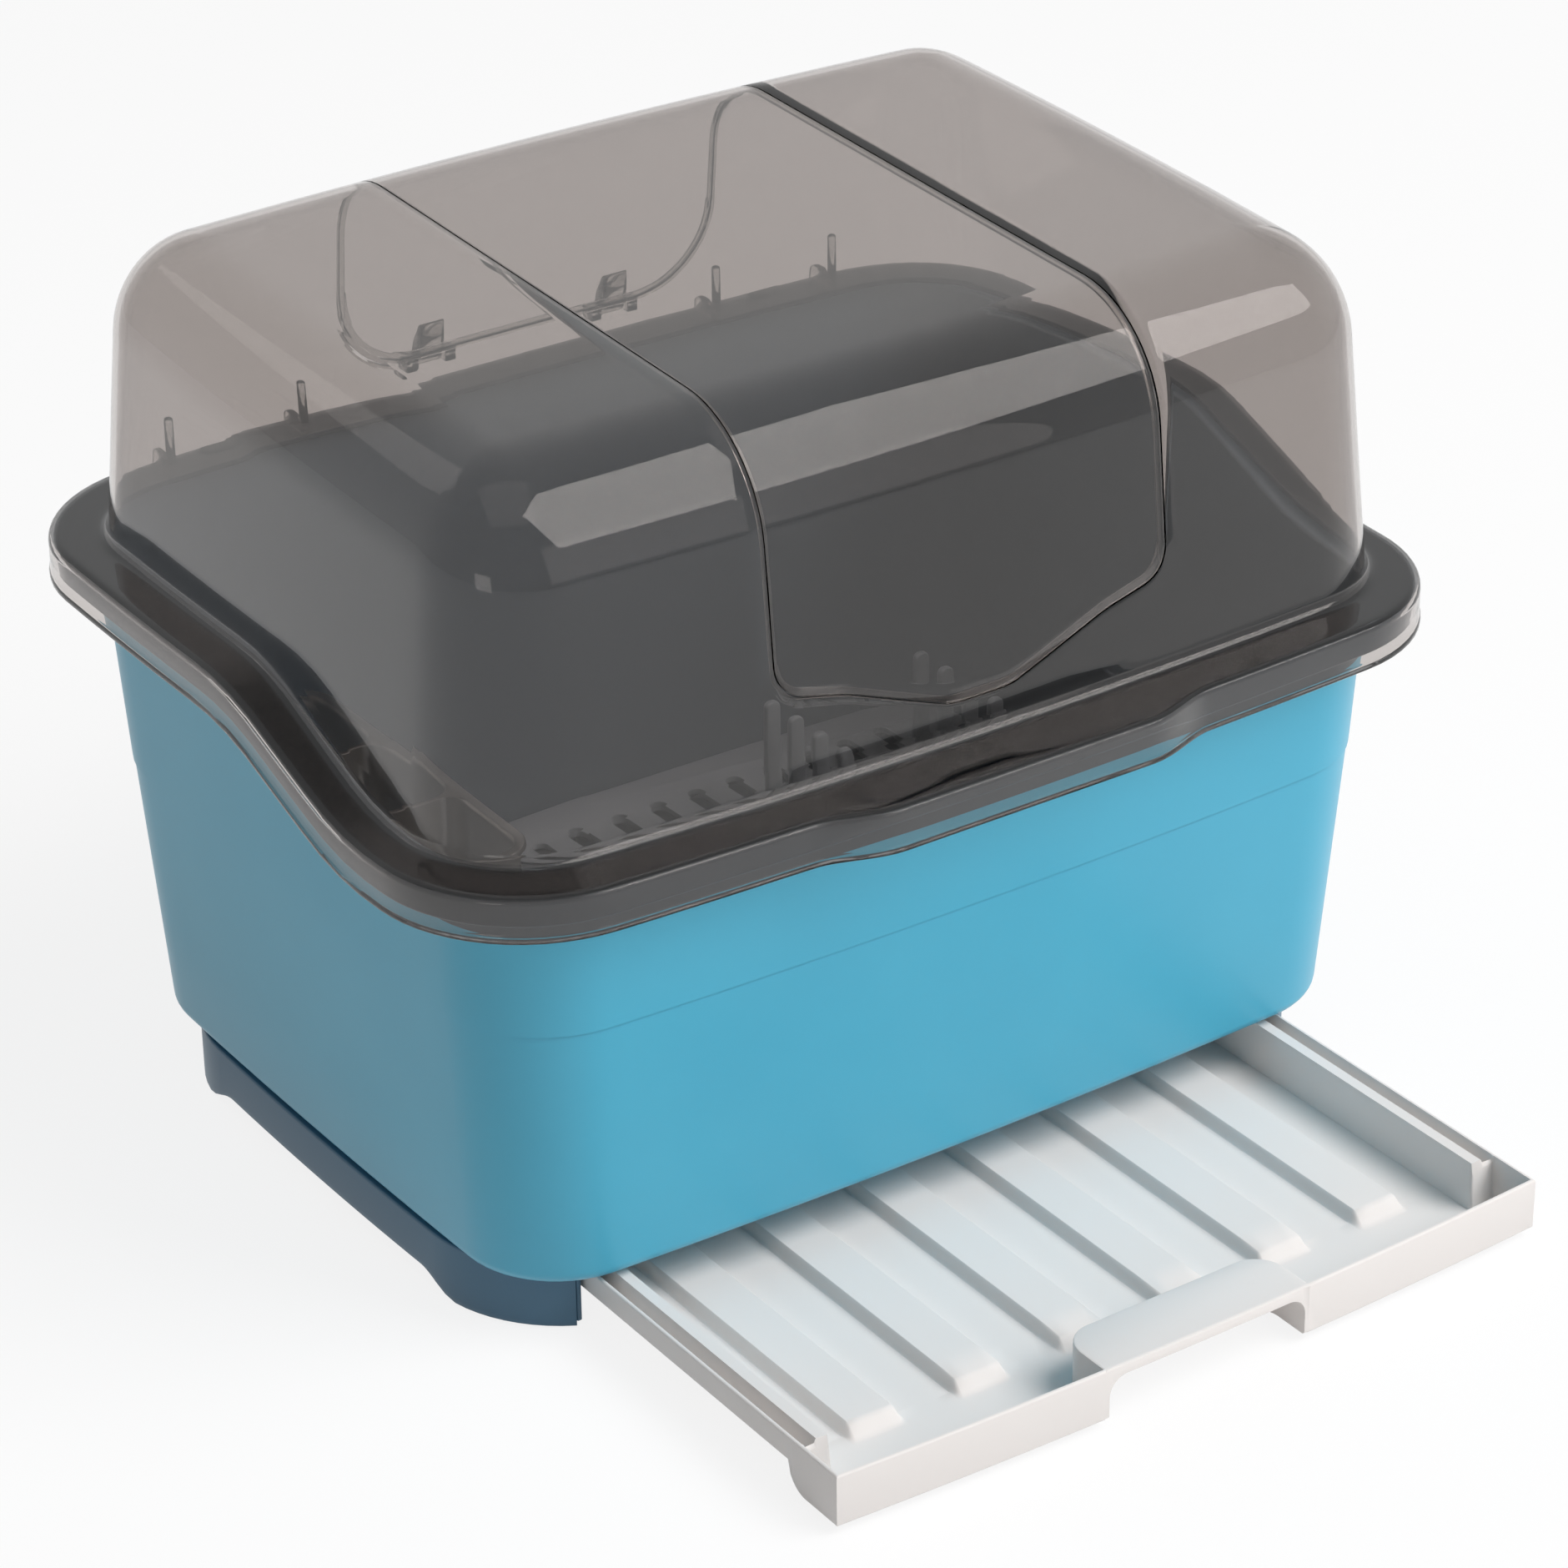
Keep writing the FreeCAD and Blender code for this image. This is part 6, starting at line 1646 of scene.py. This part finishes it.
@dataclass(frozen=True)
class Studio:
    """Camera, lamps, floor and backdrop."""

    place: tuple[float, float, float] = (-1001.8, -1426.1, 1081.5)
    azimuth: float = -34.541
    elevation: float = 28.138
    roll: float = 0.6815
    lens: float = 114.18
    ambient: float = 0.13
    glow: float = 0.85
    floor_radius: float = 8.0
    aim_high: float = 0.15
    # Name, place and size in metres, power in watts
    lamps: tuple[tuple[str, Spot, float, float], ...] = (
        ("key", (2.0, -2.3, 3.4), 3.0, 200),
        ("fill", (1.3, -3.4, 1.3), 2.0, 16),
        ("rear", (-1.2, 2.4, 2.6), 1.2, 5),
        ("low_left", (-2.6, -1.6, 0.3), 0.8, 6),
        ("top", (-0.3, -0.9, 3.6), 2.5, 14),
    )

    def camera(self) -> None:
        """Camera at the photograph's angle: its axes follow from azimuth, elevation and roll."""
        az, el, roll = (math.radians(v) for v in (self.azimuth, self.elevation, self.roll))
        back = Vector((math.sin(az) * math.cos(el), -math.cos(az) * math.cos(el), math.sin(el)))
        right = (-back).cross(Vector((0, 0, 1))).normalized()
        down = (-back).cross(right)
        across = right * math.cos(roll) + down * math.sin(roll)
        lower = -right * math.sin(roll) + down * math.cos(roll)
        data = bpy.data.cameras.new("camera")
        data.lens = self.lens
        data.sensor_width = 36.0
        data.clip_start = 0.05
        thing = bpy.data.objects.new("camera", data)
        turn = Matrix((across, -lower, back)).transposed().to_4x4()
        thing.matrix_world = Matrix.Translation(Vector(self.place) * MM) @ turn
        bpy.context.scene.collection.objects.link(thing)
        bpy.context.scene.camera = thing

    def lamp(self, name: str, place: Spot, size: float, power: float) -> None:
        """Square soft lamp that points at the object's middle and isn't mirrored in gloss."""
        data = bpy.data.lights.new(name, "AREA")
        data.size = size
        data.energy = power
        thing = bpy.data.objects.new(name, data)
        aim = Vector((0, 0, self.aim_high)) - Vector(place)
        turn = aim.to_track_quat("-Z", "Y").to_matrix().to_4x4()
        thing.matrix_world = Matrix.Translation(Vector(place)) @ turn
        thing.visible_glossy = False
        bpy.context.scene.collection.objects.link(thing)

    def surroundings(self) -> None:
        """Lamps, a white backdrop for sight, gloss and glass, and a pale floor that keeps the shadow."""
        for name, place, size, power in self.lamps:
            self.lamp(name, place, size, power)
        self.backdrop()
        self.floor()

    def backdrop(self) -> None:
        """White for sight and glass, a little darker in gloss, and dim as a light."""
        world = bpy.data.worlds.new("studio")
        bpy.context.scene.world = world
        world.use_nodes = True
        tree = world.node_tree
        tree.nodes.clear()
        path = add_node(tree, "ShaderNodeLightPath").outputs
        gloss = compute(tree, "MULTIPLY", path["Is Glossy Ray"], 0.7)
        sight = compute(tree, "MAXIMUM", path["Is Camera Ray"], path["Is Transmission Ray"])
        strength = spread(tree, compute(tree, "MAXIMUM", sight, gloss), self.ambient, 1.0)
        white = add_node(tree, "ShaderNodeBackground", {"Color": (1, 1, 1, 1), "Strength": strength})
        add_node(tree, "ShaderNodeOutputWorld", {"Surface": white.outputs[0]})
        bpy.context.scene.view_settings.view_transform = "Standard"

    def floor(self) -> None:
        """Pale disc that shows the shadow, and that gives walls less light than a white sheet would."""
        material, tree, where = start_material("studio_floor")
        grain = add_node(tree, "ShaderNodeTexNoise", {"Vector": where, "Scale": 3.0, "Detail": 2.0})
        tint = blend(tree, grain.outputs["Fac"], linear("f6f6f6"), linear("fafafa"))
        path = add_node(tree, "ShaderNodeLightPath").outputs
        dim = compute(tree, "MULTIPLY", path["Is Diffuse Ray"], 0.2)
        matt = add_node(tree, "ShaderNodeBsdfDiffuse", {"Color": blend(tree, dim, tint, (0, 0, 0, 1))})
        glow = add_node(tree, "ShaderNodeEmission", {"Color": (1, 1, 1, 1), "Strength": 1.0})
        sight = compute(tree, "MAXIMUM", path["Is Camera Ray"], path["Is Transmission Ray"])
        seen = compute(tree, "MAXIMUM", sight, path["Is Glossy Ray"])
        share = compute(tree, "MULTIPLY", seen, self.glow)
        both = add_node(tree, "ShaderNodeMixShader", {0: share, 1: matt.outputs[0], 2: glow.outputs[0]})
        close_tree(tree, both.outputs[0])
        mesh = bpy.data.meshes.new("floor")
        steps = 96
        turn = np.linspace(0, 2 * math.pi, steps, endpoint=False)
        ring = stack(self.floor_radius * np.cos(turn), self.floor_radius * np.sin(turn), 0.0)
        mesh.from_pydata(ring, [], [list(range(steps))])
        floor = bpy.data.objects.new("floor", mesh)
        floor.data.materials.append(material)
        bpy.context.scene.collection.objects.link(floor)
        floor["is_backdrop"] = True


def main() -> None:
    """Build every piece, dress it and tie it to the frame."""
    logging.basicConfig(level=logging.INFO)
    tub_blue = MouldedPlastic("tub_polypropylene", "4db1cf", "48aac9").make()
    navy = MouldedPlastic("plinth_polypropylene", "4a718a", "476d86", roughness=0.4).make()
    white = MouldedPlastic("tray_polypropylene", "e8e3e0", "e7e2df", roughness=0.42).make()
    pale = MouldedPlastic("insert_polypropylene", "6c7277", "666c71", roughness=0.32).make()
    # Dark grey for the tub's inside and the band under the rim: painted shade, the tub itself is all blue
    grey = MouldedPlastic("tub_painted_shade_polypropylene", "424c54", "404a52", roughness=0.3, relief=0.008)
    painted_shade_finish = grey.make()
    smoke = ClearPlastic("lid_styrene", "c6c0bd", "e5e2e1").make()
    # A much darker smoke on the flange's level faces, as painted shade
    painted_shade_smoke = ClearPlastic("flange_painted_shade_styrene", "4d4f51", "a0a1a2").make()
    thin_smoke = ClearPlastic("ledge_styrene", "dcdad8", "eae9e8").make()
    faint = ClearPlastic("holder_styrene", "dcdad6", "eeecea", 0.3).make()
    rubber = FootRubber().make()
    steel = ZincSteel().make()

    tub_shape = TubShape()
    tub = tub_shape.build()
    finish_piece(tub, tub_blue, "housing", "tub_blue", "tub")
    # The tub's inside and the band behind the skirt get the painted shade grey
    second_finish(tub, painted_shade_finish, tub_shape.painted_shade_faces(tub))
    plinth = PlinthShape()
    finish_piece(plinth.build(), navy, "housing", "plinth_blue", "base_plinth")
    finish_piece(plinth.fittings(), navy, "housing", "plinth_blue")
    finish_piece(TrayShape().build(), white, "tray", "tray_white", "drip_tray")
    finish_piece(GridShape().build(), pale, "grid", "insert_grey", "drain_grid")
    finish_piece(RackShape().build(), pale, "grid", "insert_grey", "plate_rack")
    finish_piece(HolderShape().build(), faint, "holder", "holder_clear", "cutlery_holder")
    lid = LidShape()
    shell = lid.build()
    finish_piece(shell, smoke, "lid", "lid_smoke", "lid_dome")
    # The flange's level faces get the painted shade smoke
    second_finish(shell, painted_shade_smoke, lid.painted_shade_flange_faces(shell))
    finish_piece(lid.ledge(), thin_smoke, "lid", "lid_smoke")
    finish_piece(lid.fittings(), thin_smoke, "lid", "lid_smoke")
    finish_piece(lid.door(), smoke, "door", "lid_smoke", "flip_door")
    finish_piece(lid.knuckles(), thin_smoke, "door", "lid_smoke")
    parts = FastenerShape()
    for end, y in (("front", -BOSS_Y), ("rear", BOSS_Y)):
        for side, x in (("left", -BOSS_X), ("right", BOSS_X)):
            pad = parts.pad(f"pad_{end}_{side}", (x, y))
            finish_piece(pad, rubber, "housing", "pad_rubber", f"foot_pad_{end}_{side}")
            screw = parts.screw(f"screw_{end}_{side}", (x, y))
            finish_piece(screw, steel, "housing", "steel", f"base_screw_{end}_{side}")
    for side, x in (("left", -HINGE_X), ("right", HINGE_X)):
        pin = parts.hinge_pin(f"pin_{side}", x, lid.hinge_y(), lid.hinge_z)
        finish_piece(pin, steel, "lid", "steel", f"hinge_pin_{side}")

    studio = Studio()
    studio.camera()
    studio.surroundings()
    sizes = [[list(map(float, corner)) for corner in box] for box in (CAD_BOUNDS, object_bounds())]


if __name__ == "__main__":
    main()
